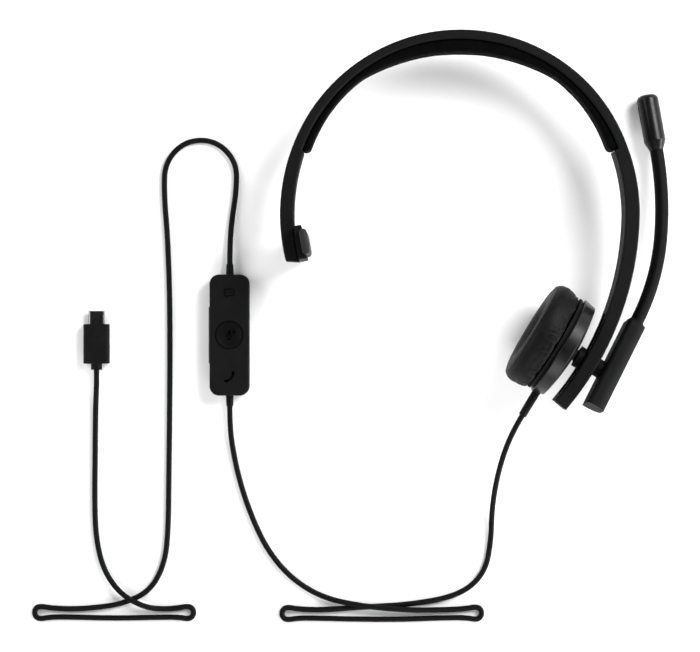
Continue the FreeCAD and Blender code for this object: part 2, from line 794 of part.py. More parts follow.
def build_boom_hub():
    plate = stock("hub_plate", hub_frame)
    flat = sketch(plate, "side", "YZ_Plane", "-hub_thick / 2")
    box_outline(flat, "hub_low", "-hub_half_wide", "hub_high", "hub_half_wide")
    solid = pad(plate, "bar", flat, "hub_thick")
    long = value("hub_high - hub_low")
    face = value("hub_thick / 2")
    solid = soften(plate, "Fillet", "outer_edges", solid, "hub_outer_round",
                   lambda e: e.BoundBox.YLength > long - 1e-4 and e.BoundBox.XMin > face - 1e-4)
    soften(plate, "Fillet", "inner_edges", solid, "hub_inner_round",
           lambda e: e.BoundBox.YLength > long - 1e-4 and e.BoundBox.XMax < 1e-4 - face)
    flat = sketch(plate, "tip")
    outline(flat, [
        ("0", "hub_half_wide"),
        ("hub_tip_radius", "hub_half_wide"),
        ("hub_tip_radius", "hub_tip_shoulder"),
        ("tube_radius + fit_gap", "hub_tip_end"),
        ("0", "hub_tip_end"),
    ])
    revolve(plate, "tip_cone", flat)
    inside = "-hub_thick / 2"
    boss = rod("hub_boss", boom_frame, "hub_boss_radius", "-hub_boss_start", "hub_boss_start",
               axis=X_AXIS)
    flare = cone("hub_flare", boom_frame, "hub_boss_radius", "hub_boss_flare_radius", "hub_boss_flare",
                 inside + " - hub_boss_flare / 2", axis=X_AXIS)
    bore = rod("hub_bore", boom_frame, "shaft_radius + fit_gap", "hub_thick * 1.5",
               "hub_boss_start - 1", axis=X_AXIS)
    pocket = rod("hub_washer_pocket", boom_frame, "washer_pocket_radius",
                 "hub_thick / 2 - washer_seat", "washer_seat", axis=X_AXIS)
    recess = rod("hub_cover_recess", hub_frame, "hub_cover_radius + fit_gap",
                 "hub_cover_thick + 1", "hub_thick / 2 - hub_cover_thick", axis=X_AXIS)
    keep(less("boom_base", fused("hub_solid", [plate, boss, flare]),
              fused("hub_hollow", [bore, pocket, recess])), "boom_base")
    cover = rod("hub_cover_disc", hub_frame, "hub_cover_radius", "hub_cover_thick - fit_gap",
                "hub_thick / 2 - hub_cover_thick + fit_gap", axis=X_AXIS)
    keep(shared("boom_base_cover", cover, plate), "boom_base_cover")

    washer = less("boom_friction_washer",
                  rod("washer_disc", boom_frame, "washer_radius", "washer_thick", "washer_seat",
                      axis=X_AXIS),
                  rod("washer_hole", boom_frame, "pivot_screw_radius + fit_gap", "washer_thick * 3",
                      "washer_seat - washer_thick", axis=X_AXIS))
    keep(washer, "boom_friction_washer")
    screw = fused("boom_pivot_screw", [
        rod("pivot_screw_head", boom_frame, "pivot_head_radius", "pivot_head_thick",
            "washer_seat + washer_thick", axis=X_AXIS),
        rod("pivot_screw_shank", boom_frame, "pivot_screw_radius", "pivot_screw_long + washer_thick",
            "washer_seat - pivot_screw_long", axis=X_AXIS),
    ])
    keep(screw, "boom_pivot_screw")


HIGH_CENTRE_X = ("boom_low_centre_x + (boom_low_radius - boom_high_radius)"
                 " * cos(boom_arc_change_angle)")
HIGH_CENTRE_Y = ("boom_low_centre_y + (boom_low_radius - boom_high_radius)"
                 " * sin(boom_arc_change_angle)")


def bend(name, first, last, low=True):
    """A stretch of the boom's tube along its lower or its upper arc."""
    centre_x, centre_y, radius = ("boom_low_centre_x", "boom_low_centre_y", "boom_low_radius")
    if not low:
        centre_x, centre_y, radius = (HIGH_CENTRE_X, HIGH_CENTRE_Y, "boom_high_radius")
    made = doc.addObject("Part::Torus", name)
    bind(made, Radius1=radius, Radius2="tube_radius", Angle3=f"{last} - {first}")
    made.Placement = boom_frame.multiply(place(centre_x, centre_y, "0", first))
    return made


def low_point():
    return ("boom_low_centre_x + boom_low_radius * cos(boom_low_joint_angle)",
            "boom_low_centre_y + boom_low_radius * sin(boom_low_joint_angle)")


def high_point(angle):
    return (f"{HIGH_CENTRE_X} + boom_high_radius * cos({angle})",
            f"{HIGH_CENTRE_Y} + boom_high_radius * sin({angle})")


def build_boom_tube():
    """Three stretches of the bendable boom. Each joint is a round end in a hollow one."""
    gap = "tube_radius + boom_joint_gap"
    lower = fused("boom_arm_lower", [
        bend("lower_bend", "boom_start_angle", "boom_low_joint_angle"),
        ball("lower_ball", boom_frame, "tube_radius", *low_point()),
    ])
    keep(lower, "boom_arm_lower")
    upper_joint = high_point("boom_high_joint_angle")
    middle = fused("middle_solid", [
        bend("middle_bend", "boom_low_joint_angle", "boom_arc_change_angle"),
        bend("middle_upper_bend", "boom_arc_change_angle", "boom_high_joint_angle", low=False),
        ball("middle_ball", boom_frame, "tube_radius", *upper_joint),
    ])
    keep(less("boom_arm_middle", middle, ball("middle_socket", boom_frame, gap, *low_point())),
         "boom_arm_middle")
    upper = bend("upper_bend", "boom_high_joint_angle", "boom_end_angle", low=False)
    keep(less("boom_arm_upper", upper, ball("upper_socket", boom_frame, gap, *upper_joint)),
         "boom_arm_upper")


def build_microphone():
    frame = boom_frame.multiply(place(*high_point("boom_end_angle"), "0", "boom_end_angle"))
    inner = "mic_radius - mic_wall"
    shell = stock("mic_shell", frame)
    flat = sketch(shell, "profile")
    outline(flat, [
        ("0", "0"),
        ("tube_radius", "0"),
        ("mic_radius", "mic_taper"),
        ("mic_radius", "mic_long - mic_nose", "mic_nose"),
        ("mic_radius - mic_nose", "mic_long"),
        ("0", "mic_long"),
        ("0", "mic_long - mic_wall"),
        ("mic_radius - mic_nose", "mic_long - mic_wall"),
        (inner, "mic_long - mic_nose"),
        (inner, "mic_taper + mic_wall"),
        ("0", "mic_taper + mic_wall"),
    ])
    revolve(shell, "turn", flat)
    half = "mic_radius * 2"
    slit = block("mic_slit", frame, half, "mic_slit_long", "mic_slit_wide", "-mic_radius",
                 "mic_slit_centre", "-mic_slit_wide / 2")
    for label, side in (("mic_shell_front", "-1"), ("mic_shell_back", "1")):
        room = block(label + "_side", frame, half, "mic_long * 2", half,
                     f"({side}) * mic_radius", "mic_long", "-mic_radius")
        piece = shared(label if side == "1" else label + "_half", shell, room)
        if side == "-1":
            piece = less(label, piece, slit)
        keep(piece, label)
    capsule = rod("mic_capsule", frame, "mic_capsule_radius", "mic_capsule_thick",
                  "-mic_capsule_radius + mic_foam_thick", "mic_slit_centre", axis=X_AXIS)
    keep(capsule, "mic_capsule", capsule.Placement)
    foam = rod("mic_foam", frame, "mic_capsule_radius", "mic_foam_thick", "-mic_capsule_radius",
               "mic_slit_centre", axis=X_AXIS)
    keep(foam, "mic_foam", foam.Placement)


def ring_of_three(first_angle):
    return [f"{first_angle} + {120 * number}" for number in range(3)]


def cup_screws(name, circle_radius, first_angle, head_at, long, grow="0"):
    """Three screws round the cup's axis. Their heads face the ear."""
    pieces = []
    for number, angle in enumerate(ring_of_three(first_angle)):
        spot = (f"{circle_radius} * cos({angle})", f"{circle_radius} * sin({angle})")
        pieces.append(rod(f"{name}_head_{number}", cup_frame, f"small_head_radius + {grow}",
                          f"small_head_thick + {grow}", *spot, f"{head_at} - {grow}"))
        pieces.append(rod(f"{name}_shank_{number}", cup_frame, f"small_screw_radius + {grow}",
                          f"{long} + {grow}", *spot, f"{head_at} + small_head_thick"))
    return pieces


def build_cup_shell():
    lip = "sqrt(socket_radius ^ 2 - socket_lip ^ 2)"
    shell = stock("cup_shell", cup_frame)
    flat = sketch(shell, "profile", "XZ_Plane")
    dome_under = "cup_dome_depth - cup_wall - cup_dome_drop"
    outline(flat, [
        ("cup_radius", "cup_rim_depth"),
        ("cup_back_radius", "cup_back_depth", "cup_dome_sag_radius"),
        (lip, "cup_dome_depth"),
        (lip, "ball_depth + socket_lip", "-socket_radius"),
        ("socket_radius", "ball_depth"),
        ("boss_radius", "boss_depth"),
        ("boss_radius", dome_under),
        ("cup_back_radius - cup_wall", "cup_back_depth - cup_back_wall"),
        ("cup_radius - cup_wall", "cup_rim_depth"),
    ])
    solid = revolve(shell, "turn", flat)
    back = value("cup_back_depth")
    rim = value("cup_rim_depth")
    wide = value("cup_back_radius")
    soften(shell, "Fillet", "edges", solid, "cup_edge_round",
           lambda e: e.BoundBox.XLength > 2 * wide - 0.1 and (level(e, back) or level(e, rim)))
    flat = sketch(shell, "bosses", offset="baffle_thick + fit_gap")
    for angle in ring_of_three("0"):
        circle(flat, f"screw_boss_circle * cos({angle})", f"screw_boss_circle * sin({angle})",
               "screw_boss_radius")
    pad(shell, "screw_bosses", flat, "screw_boss_top - baffle_thick")
    holes = [rod("boot_hole", cup_frame, "boot_radius + fit_gap", "cup_radius - boot_start + 1",
                 "-cup_radius - 1", "0", "boot_depth", X_AXIS)]
    holes += cup_screws("retainer_hole", "retainer_screw_circle", "60",
                        "boss_depth - retainer_flange_thick - small_head_thick",
                        "retainer_screw_long", "fit_gap")
    holes += cup_screws("baffle_hole", "screw_boss_circle", "0", "0", "baffle_hole_long", "fit_gap")
    keep(less("cup_housing", shell, fused("cup_holes", holes)), "cup_housing")


def build_cup_inside():
    neck = "sqrt(socket_radius ^ 2 - retainer_neck ^ 2)"
    flange_low = "boss_depth - retainer_flange_thick"
    ring = stock("retainer_ring", cup_frame)
    flat = sketch(ring, "profile", "XZ_Plane")
    outline(flat, [
        (neck, "retainer_low"),
        ("retainer_body_radius", "retainer_low"),
        ("retainer_body_radius", flange_low),
        ("boss_radius", flange_low),
        ("boss_radius", "boss_depth"),
        ("socket_radius", "boss_depth", "-socket_radius"),
        (neck, "ball_depth - retainer_neck"),
    ])
    revolve(ring, "turn", flat)
    head_at = flange_low + " - small_head_thick"
    retainer_screws = ("retainer_screw_circle", "60", head_at, "retainer_screw_long")
    keep(less("ball_retainer", ring,
              fused("retainer_holes", cup_screws("retainer_bore", *retainer_screws, "fit_gap"))),
         "ball_retainer")
    keep(fused("retainer_screws", cup_screws("retainer_screw", *retainer_screws)), "retainer_screws")

    disc = less("baffle_disc",
                rod("baffle_plate", cup_frame, "baffle_radius", "baffle_thick"),
                rod("baffle_centre_hole", cup_frame, "baffle_hole", "baffle_thick * 3", z="-baffle_thick"))
    baffle_screws = ("screw_boss_circle", "0", "0", "baffle_screw_long")
    keep(less("driver_baffle", disc,
              fused("baffle_bores", cup_screws("baffle_bore", *baffle_screws, "fit_gap"))),
         "driver_baffle")
    keep(fused("baffle_screws", cup_screws("baffle_screw", *baffle_screws)), "baffle_screws")

    turned("cushion_ring", cup_frame, [
        ("ring_inner_radius", "-ring_thick"), ("ring_outer_radius", "-ring_thick"),
        ("ring_outer_radius", "-fit_gap"), ("ring_inner_radius", "-fit_gap")])
    rear = "-ring_thick - fit_gap"
    turned("ear_cushion", cup_frame, [
        ("cushion_hole + cushion_hole_round", "cushion_front"),
        ("cushion_radius - cushion_round", "cushion_front", "cushion_round"),
        ("cushion_radius", "cushion_front + cushion_round"),
        ("cushion_radius", rear),
        ("cushion_hole", rear),
        ("cushion_hole", "cushion_front + cushion_hole_round", "cushion_hole_round"),
    ])
    inner = "driver_radius - driver_wall"
    turned("driver_frame", cup_frame, [
        (inner, "driver_front"), ("driver_radius", "driver_front"),
        ("driver_radius", "-fit_gap"), ("magnet_radius + fit_gap", "-fit_gap"),
        ("magnet_radius + fit_gap", "-driver_back"), (inner, "-driver_back")])
    magnet = rod("driver_magnet", cup_frame, "magnet_radius", "driver_back - magnet_front",
                 z="magnet_front")
    keep(magnet, "driver_magnet", magnet.Placement)
    turned("driver_voice_coil", cup_frame, [
        ("coil_radius", "coil_front"), ("coil_radius + coil_wall", "coil_front"),
        ("coil_radius + coil_wall", "coil_back"), ("coil_radius", "coil_back")])
    cone_disc = rod("driver_diaphragm", cup_frame, inner + " - fit_gap", "diaphragm_thick",
                    z="coil_front - diaphragm_thick")
    keep(cone_disc, "driver_diaphragm", cone_disc.Placement)
    mesh = rod("acoustic_mesh", cup_frame, "ring_inner_radius - fit_gap", "mesh_thick",
               z="driver_front - mesh_thick")
    keep(mesh, "acoustic_mesh", mesh.Placement)
    turned("damping_felt", cup_frame, [
        ("baffle_hole", "baffle_thick"), ("felt_outer_radius", "baffle_thick"),
        ("felt_outer_radius", "baffle_thick + felt_thick"),
        ("baffle_hole", "baffle_thick + felt_thick")])
    board = body("cup_circuit_board", cup_frame)
    flat = sketch(board, "outline", offset="board_depth")
    outline(flat, ring_piece("0", "0", "board_inner_radius", "board_outer_radius",
                             "-board_half_angle", "board_half_angle"))
    pad(board, "plate", flat, "board_thick")


def build_cup_cable_exit():
    frame = cup_frame.multiply(place(z="boot_depth", turn="180"))
    turned("cable_boot", frame, [
        ("boot_start", "0"),
        ("boot_end", "0"),
        ("boot_end", "boot_tip_radius"),
        ("cup_radius", "boot_radius"),
        ("boot_flange_end", "boot_radius"),
        ("boot_flange_end", "boot_flange_radius"),
        ("boot_start", "boot_flange_radius"),
    ], "H_Axis", "XY_Plane")
    clamp = block("cable_clamp", cup_frame, "clamp_long", "clamp_wide", "clamp_high",
                  "-boot_start + fit_gap + clamp_long / 2", "0", "clamp_low")
    keep(clamp, "cable_clamp", clamp.Placement)


def remote_screws(name, grow="0"):
    pieces = []
    for number, side in enumerate(("-1", "1")):
        reach = f"({side}) * remote_screw_reach"
        pieces.append(rod(f"{name}_head_{number}", remote_frame, f"small_head_radius + {grow}",
                          f"small_head_thick + {grow}", "0", reach,
                          f"remote_screw_sink - {grow}"))
        pieces.append(rod(f"{name}_shank_{number}", remote_frame, f"small_screw_radius + {grow}",
                          f"remote_screw_long + {grow}", "0", reach,
                          "remote_screw_sink + small_head_thick"))
    return pieces


def build_remote_case():
    half_wide = "remote_wide / 2"
    half_long = "remote_long / 2"
    cover = stock("remote_cover_plate", remote_frame)
    flat = sketch(cover, "outline")
    rounded_outline(flat, half_wide, half_long, "remote_corner")
    solid = pad(cover, "plate", flat, "remote_floor")
    soften(cover, "Chamfer", "bevel", solid, "remote_bevel", lambda e: level(e, 0))
    holes = fused("cover_holes", remote_screws("cover_hole", "fit_gap"))
    keep(less("remote_back_cover", cover, holes), "remote_back_cover")

    case = stock("remote_case", remote_frame)
    flat = sketch(case, "outline", offset="remote_floor")
    rounded_outline(flat, half_wide, half_long, "remote_corner")
    solid = pad(case, "walls", flat, "remote_shell_high - remote_floor")
    top = value("remote_shell_high")
    soften(case, "Chamfer", "bevel", solid, "case_bevel", lambda e: level(e, top))
    flat = sketch(case, "inside", offset="remote_floor")
    rounded_outline(flat, half_wide + " - remote_wall", half_long + " - remote_wall",
                    "remote_corner - remote_wall")
    cut(case, "hollow", flat, "remote_shell_high", back=True)
    flat = sketch(case, "bosses", offset="remote_floor")
    for side in ("-1", "1"):
        circle(flat, "0", f"({side}) * remote_screw_reach", "remote_boss_radius")
    pad(case, "screw_bosses", flat, "remote_boss_high")
    flat = sketch(case, "rocker_slot", "YZ_Plane")
    box_outline(flat, "-volume_long / 2 - volume_gap", "volume_low - volume_gap",
                "volume_long / 2 + volume_gap", "volume_high + volume_gap")
    cut(case, "rocker_opening", flat, "remote_wide")
    holes = fused("case_holes", remote_screws("case_hole", "fit_gap")
                  + key_pins("key_pin_hole", "fit_gap") + [rocker_pin("rocker_pin_hole", "fit_gap")])
    keep(less("remote_front_frame", case, holes), "remote_front_frame")
    keep(fused("remote_screws", remote_screws("remote_screw")), "remote_screws")


def key_pins(name, grow="0"):
    """The two pins, one in each long wall, that the key plate rocks on."""
    return [rod(f"{name}_{number}", remote_frame, "pin_radius + " + grow,
                "key_pin_end - key_pin_start + " + grow, f"({side}) * key_pin_start", "0",
                "key_pin_height", Vector(side, 0, 0)) for number, side in enumerate((-1, 1))]


def rocker_pin(name, grow="0"):
    """The upright pin that the volume rocker turns on, with both ends in the case's wall."""
    return rod(name, remote_frame, "pin_radius + " + grow,
               "volume_high - volume_low + 2 * (volume_pin_out + " + grow + ")",
               "-remote_wide / 2 + volume_pin_in", "0", "volume_low - volume_pin_out - " + grow)


def build_remote_keys():
    switch_top = "remote_floor + fit_gap + remote_board_thick + switch_high"
    plate = stock("key_plate_slab", remote_frame)
    flat = sketch(plate, "outline", offset="plate_low")
    inset = "remote_wall + plate_gap"
    rounded_outline(flat, f"remote_wide / 2 - ({inset})", f"remote_long / 2 - ({inset})",
                    f"remote_corner - ({inset})")
    pad(plate, "slab", flat, "plate_high - plate_low")
    flat = sketch(plate, "rim", offset="plate_rim_low")
    rounded_outline(flat, "remote_wide / 2 - plate_rim_inset", "remote_long / 2 - plate_rim_inset",
                    "remote_corner - plate_rim_inset")
    solid = pad(plate, "rim_over_case", flat, "plate_high - plate_rim_low")
    top = value("plate_high")
    soften(plate, "Fillet", "edges", solid, "plate_round", lambda e: level(e, top))
    flat = sketch(plate, "button_hole", offset="plate_low")
    circle(flat, "0", "0", "mute_radius + mute_gap")
    cut(plate, "button_bore", flat, "plate_high", back=True)
    flat = sketch(plate, "posts", offset=switch_top + " + key_post_gap")
    for side in ("-1", "1"):
        circle(flat, "0", f"({side}) * key_reach", "key_post_radius")
    pad(plate, "key_posts", flat, f"plate_low - ({switch_top}) - key_post_gap + 1")
    keep(fused("remote_key_plate", [plate] + key_pins("key_pin")), "remote_key_plate")

    dish = "mute_high - mute_dish_radius + sqrt(mute_dish_radius ^ 2 - mute_dish_rim ^ 2)"
    turned("mute_button", remote_frame, [
        ("0", switch_top + " + mute_travel + fit_gap"),
        ("key_post_radius", switch_top + " + mute_travel + fit_gap"),
        ("key_post_radius", "mute_low"),
        ("mute_radius", "mute_low"),
        ("mute_radius", "mute_high - button_bevel"),
        ("mute_radius - button_bevel", "mute_high"),
        ("mute_dish_rim", "mute_high", "-mute_dish_radius"),
        ("0", dish),
    ])

    rocker = stock("rocker_bar", remote_frame)
    flat = sketch(rocker, "outline", offset="volume_low")
    left = "-remote_wide / 2 - volume_proud"
    box_outline(flat, left, "-volume_long / 2", left + " + volume_deep", "volume_long / 2")
    solid = pad(rocker, "bar", flat, "volume_high - volume_low")
    outer = value(left)
    soften(rocker, "Fillet", "rounding", solid, "volume_proud - fit_gap",
           lambda e: e.BoundBox.XMax < outer + 1e-4)
    keep(fused("volume_rocker", [rocker, rocker_pin("rocker_pin")]), "volume_rocker")

    board = block("remote_circuit_board", remote_frame, "remote_board_wide", "remote_board_long",
                  "remote_board_thick", "0", "0", "remote_floor + fit_gap")
    keep(board, "remote_circuit_board", board.Placement)
    on_board = "remote_floor + fit_gap + remote_board_thick"
    switches = [block(f"key_switch_{number}", remote_frame, "switch_side", "switch_side",
                      "switch_high", "0", f"({number} - 1) * key_reach", on_board)
                for number in range(3)]
    switches += [block(f"volume_switch_{number}", remote_frame, "volume_switch_wide", "switch_side",
                       "switch_high", "volume_switch_x", f"(2 * {number} - 1) * volume_reach", on_board)
                 for number in range(2)]
    keep(grouped("tactile_switches", switches), "tactile_switches")


def build_remote_collars():
    for label, side in (("remote_collar_lower", -1), ("remote_collar_upper", 1)):
        collar = cone(label, remote_frame, "collar_tube_radius", "collar_tip_radius",
                      "remote_collar_long", "0", f"({side}) * remote_long / 2", "remote_cord_height",
                      Vector(0, side, 0))
        keep(collar, label, collar.Placement)


def build_plug():
    shell = body("plug_shell", plug_frame)
    flat = sketch(shell, "outside", "XZ_Plane")
    half_wide = "plug_shell_wide / 2"
    half_high = "plug_shell_high / 2"
    rounded_outline(flat, half_wide, half_high, half_high + " - fit_gap")
    pad(shell, "tube", flat, "plug_shell_out + plug_shell_in")
    flat = sketch(shell, "inside", "XZ_Plane")
    inner_wide = half_wide + " - plug_shell_wall"
    inner_high = half_high + " - plug_shell_wall"
    rounded_outline(flat, inner_wide, inner_high, inner_high + " - fit_gap")
    cut(shell, "opening", flat, "plug_shell_out + plug_shell_in", back=True)

    tongue = body("plug_insulator", plug_frame)
    flat = sketch(tongue, "section", "XZ_Plane", "plug_tongue_start")
    rounded_outline(flat, inner_wide + " - fit_gap", inner_high + " - fit_gap",
                    inner_high + " - 2 * fit_gap")
    pad(tongue, "block", flat, "plug_shell_out + plug_shell_in - plug_tongue_start")

    grip = body("plug_body", plug_frame)
    flat = sketch(grip, "section", "XZ_Plane", "plug_shell_out")
    rounded_outline(flat, "plug_wide / 2", "plug_high / 2", "plug_round")
    solid = pad(grip, "overmould", flat, "plug_long")
    soften(grip, "Fillet", "edges", solid, "plug_edge", lambda e: e.BoundBox.YLength < 1e-4)
    flat = sketch(grip, "cavity", "XZ_Plane", "plug_shell_out")
    rounded_outline(flat, half_wide + " + fit_gap", half_high + " + fit_gap", half_high)
    cut(grip, "hollow", flat, "plug_shell_in + plug_board_long + 1", back=True)

    board = block("plug_circuit_board", plug_frame, "plug_board_wide", "plug_board_long",
                  "plug_board_thick", "0",
                  "-plug_shell_out - plug_shell_in - plug_board_long / 2 - 2 * fit_gap",
                  "-plug_board_thick / 2")
    keep(board, "plug_circuit_board", board.Placement)
    collar = rod("plug_collar", plug_frame, "plug_collar_radius", "plug_collar_long", "0",
                 "-plug_shell_out - plug_long", "0", Vector(0, -1, 0))
    keep(collar, "plug_collar", collar.Placement)


# Cord routes: corners of straight runs, from exit to exit. Each rests on the table at one cord
# radius, except where it comes down from an exit or rides over another stretch of itself.
boot_tip = cup_frame.multVec(Vector(-value("boot_end"), 0, value("boot_depth")))
remote_end = value("remote_long") / 2 + value("remote_collar_long")
plug_end = value("plug_tip_y") - value("plug_shell_out + plug_long + plug_collar_long")

CUP_TO_REMOTE = [
    (boot_tip.x, boot_tip.y, boot_tip.z),
    (19.19, -104.75, 26.2),
    (14.3, -118.0, 21.5),
    (11.4, -133.0, 11.5),
    (10.1, -147.5, 3.4),
    (9.9, -162.0, 1.4),
    (6.8, -178.6, 1.4),
    (-5.8, -189.8, 1.4),
    (-30.0, -194.6, 1.4),
    (-56.0, -196.0, 1.4),
    (-77.5, -197.5, 1.4),
    (-88.9, -197.0, 1.4),
    (-94.8, -195.9, 1.4),
    (-97.0, -197.8, 1.4),
    (-97.0, -200.8, 1.4),
    (-94.8, -202.7, 1.4),
    (-88.9, -201.6, 1.4),
    (-77.4, -201.7, 1.4),
    (-60.0, -202.2, 1.4),
    (-37.0, -202.3, 1.4),
    (-14.6, -201.5, 1.4),
    (-3.1, -201.4, 1.4),
    (2.8, -202.5, 1.4),
    (5.0, -200.6, 1.4),
    (5.0, -197.6, 1.4),
    (2.8, -195.7, 1.4),
    (-3.1, -196.8, 1.4),
    (-14.6, -197.5, 1.4),
    (-37.0, -197.1, 4.4),
    (-61.0, -194.4, 4.4),
    (-78.0, -190.4, 1.4),
    (-92.4, -181.2, 1.4),
    (-103.8, -168.0, 1.4),
    (-111.8, -151.8, 1.4),
    (-118.4, -133.0, 1.4),
    (-122.4, -114.6, 1.5),
    (value("remote_x"), -101.8, value("remote_cord_height")),
    (value("remote_x"), value("remote_y") - remote_end, value("remote_cord_height")),
]

REMOTE_TO_PLUG = [
    (value("remote_x"), value("remote_y") + remote_end, value("remote_cord_height")),
    (value("remote_x"), -12.6, value("remote_cord_height")),
    (-122.9, 0.8, 1.4),
    (-120.4, 16.4, 1.4),
    (-120.2, 31.6, 1.4),
    (-130.8, 42.7, 1.4),
    (-146.2, 42.7, 1.4),
    (-156.9, 31.6, 1.4),
    (-157.4, 15.6, 1.4),
    (-155.5, -7.0, 1.4),
    (-154.3, -42.0, 1.4),
    (-154.4, -90.0, 1.4),
    (-154.9, -130.0, 1.4),
    (-155.2, -156.0, 1.4),
    (-156.9, -173.6, 1.4),
    (-164.4, -187.8, 1.4),
    (-178.6, -194.3, 1.4),
    (-191.5, -196.2, 1.4),
    (-204.0, -197.0, 1.4),
    (-215.4, -196.5, 1.4),
    (-221.3, -195.4, 1.4),
    (-223.5, -197.3, 1.4),
    (-223.5, -200.3, 1.4),
    (-221.3, -202.2, 1.4),
    (-215.4, -201.1, 1.4),
    (-204.0, -201.1, 1.4),
    (-184.0, -201.7, 1.4),
    (-162.8, -201.3, 1.4),
    (-150.4, -201.1, 1.4),
    (-144.6, -202.2, 1.4),
    (-142.3, -200.3, 1.4),
    (-142.3, -197.3, 1.4),
    (-144.6, -195.4, 1.4),
    (-150.4, -196.5, 1.4),
    (-159.2, -197.1, 1.4),
    (-168.2, -195.3, 4.4),
    (-179.3, -189.0, 4.4),
    (-187.9, -177.9, 1.4),
    (-191.8, -163.4, 1.4),
    (-192.9, -146.0, 1.4),
    (-192.6, -118.0, 1.4),
    (-192.4, -94.5, 1.5),
    (value("plug_x"), -83.0, value("plug_high") / 2),
    (value("plug_x"), plug_end, value("plug_high") / 2),
]

RUN_SHARE = 0.45
CORD_TOLERANCE = 0.01


def cord(label, route):
    """A round tube whose path is straight runs joined by tangent arcs, each as large as its two
    runs allow."""
    points = [Vector(*spot) for spot in route]
    edges = []
    radii = []
    start = points[0]
    for before, corner, after in zip(points, points[1:], points[2:]):
        back = (before - corner).normalize()
        ahead = (after - corner).normalize()
        half_turn = (math.pi - back.getAngle(ahead)) / 2
        reach = RUN_SHARE * min((before - corner).Length, (after - corner).Length)
        radius = reach / math.tan(half_turn)
        radii.append(radius)
        enter = corner + back * reach
        leave = corner + ahead * reach
        inward = (back + ahead).normalize()
        middle = corner + inward * radius * (1 / math.cos(half_turn) - 1)
        edges.append(Part.LineSegment(start, enter).toShape())
        edges.append(Part.Arc(enter, middle, leave).toShape())
        start = leave
    edges.append(Part.LineSegment(start, points[-1]).toShape())
    path = Part.Wire(edges)
    section_radius = value("cord_radius")
    ring = Part.Circle(points[0], points[1] - points[0], section_radius)
    tube = path.makePipeShell([Part.Wire([ring.toShape()])], True, False)
    made = doc.addObject("Part::Feature", label)
    made.Shape = tube
    keep(made, label)
    expected = math.pi * section_radius ** 2 * path.Length
    if abs(tube.Volume / expected - 1) > CORD_TOLERANCE:
        raise RuntimeError(label + " folds over itself")
    print(label, "length", round(path.Length, 1), "radii", [round(r, 1) for r in radii])


build_headband()
build_band_inserts()
build_temple_bar()
build_neck()
build_boom_hub()
build_boom_tube()
build_microphone()
build_cup_shell()
build_cup_inside()
build_cup_cable_exit()
build_remote_case()
build_remote_keys()
build_remote_collars()
build_plug()
cord("cord_cup_to_remote", CUP_TO_REMOTE)
cord("cord_remote_to_plug", REMOTE_TO_PLUG)
doc.recompute()

for thing in doc.Objects:
    if "Invalid" in thing.State or "Error" in thing.State:
        raise RuntimeError(f"{thing.Name} failed: {thing.State}")
for node in NODES:
    if node.Shape.isNull() or not node.Shape.isValid() or not node.Shape.Solids:
        raise RuntimeError(node.Label + " has no valid solid")

os.makedirs("parts", exist_ok=True)
for node in NODES:
    node.Shape.exportStep(f"parts/{node.Label}.step")
print(len(NODES), "sub-parts written")
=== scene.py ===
import json
import math

import bmesh
import bpy
import numpy as np
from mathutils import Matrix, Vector, noise


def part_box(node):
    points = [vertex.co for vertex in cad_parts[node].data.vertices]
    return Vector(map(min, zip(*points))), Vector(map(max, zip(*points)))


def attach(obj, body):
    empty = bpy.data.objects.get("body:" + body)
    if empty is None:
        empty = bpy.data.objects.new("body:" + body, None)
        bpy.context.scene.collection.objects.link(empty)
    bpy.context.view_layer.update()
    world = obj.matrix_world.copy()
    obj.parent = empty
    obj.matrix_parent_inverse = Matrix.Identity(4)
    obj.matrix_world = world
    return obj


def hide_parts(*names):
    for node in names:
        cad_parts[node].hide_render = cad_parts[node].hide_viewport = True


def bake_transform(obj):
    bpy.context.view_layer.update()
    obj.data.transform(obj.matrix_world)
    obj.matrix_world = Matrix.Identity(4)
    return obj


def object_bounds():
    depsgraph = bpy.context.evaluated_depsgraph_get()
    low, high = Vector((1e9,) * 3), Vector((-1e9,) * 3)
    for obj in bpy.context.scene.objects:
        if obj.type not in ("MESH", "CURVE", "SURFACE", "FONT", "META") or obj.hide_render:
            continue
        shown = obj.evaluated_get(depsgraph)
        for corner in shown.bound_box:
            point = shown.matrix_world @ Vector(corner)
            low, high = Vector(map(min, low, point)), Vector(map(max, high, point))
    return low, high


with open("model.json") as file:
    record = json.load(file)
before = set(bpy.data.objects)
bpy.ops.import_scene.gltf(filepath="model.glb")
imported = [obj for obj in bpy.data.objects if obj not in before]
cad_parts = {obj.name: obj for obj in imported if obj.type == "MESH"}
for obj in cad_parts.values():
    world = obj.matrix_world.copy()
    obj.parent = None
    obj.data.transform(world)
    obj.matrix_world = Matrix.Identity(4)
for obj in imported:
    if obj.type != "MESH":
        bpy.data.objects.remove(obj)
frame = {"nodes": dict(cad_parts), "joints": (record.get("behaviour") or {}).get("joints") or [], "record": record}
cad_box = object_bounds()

# The looks of a single-sided office headset that lies on a table, seen from straight above.
# Lengths named _MM are millimetres; everything handed to Blender is metres.

MM = 0.001
JOINTS = {joint["name"]: joint for joint in frame["joints"]}


def joint_spot(name):
    return Vector(JOINTS[name]["pos_m"])


def joint_axis(name):
    return Vector(JOINTS[name]["axis"]).normalized()


def millimetres(*numbers):
    return Vector([number * MM for number in numbers])


# ---------------------------------------------------------------- camera

CAMERA_SPOT = millimetres(-62.25, -52.25, 1100)
VIEW_WIDE_MM = 358.5


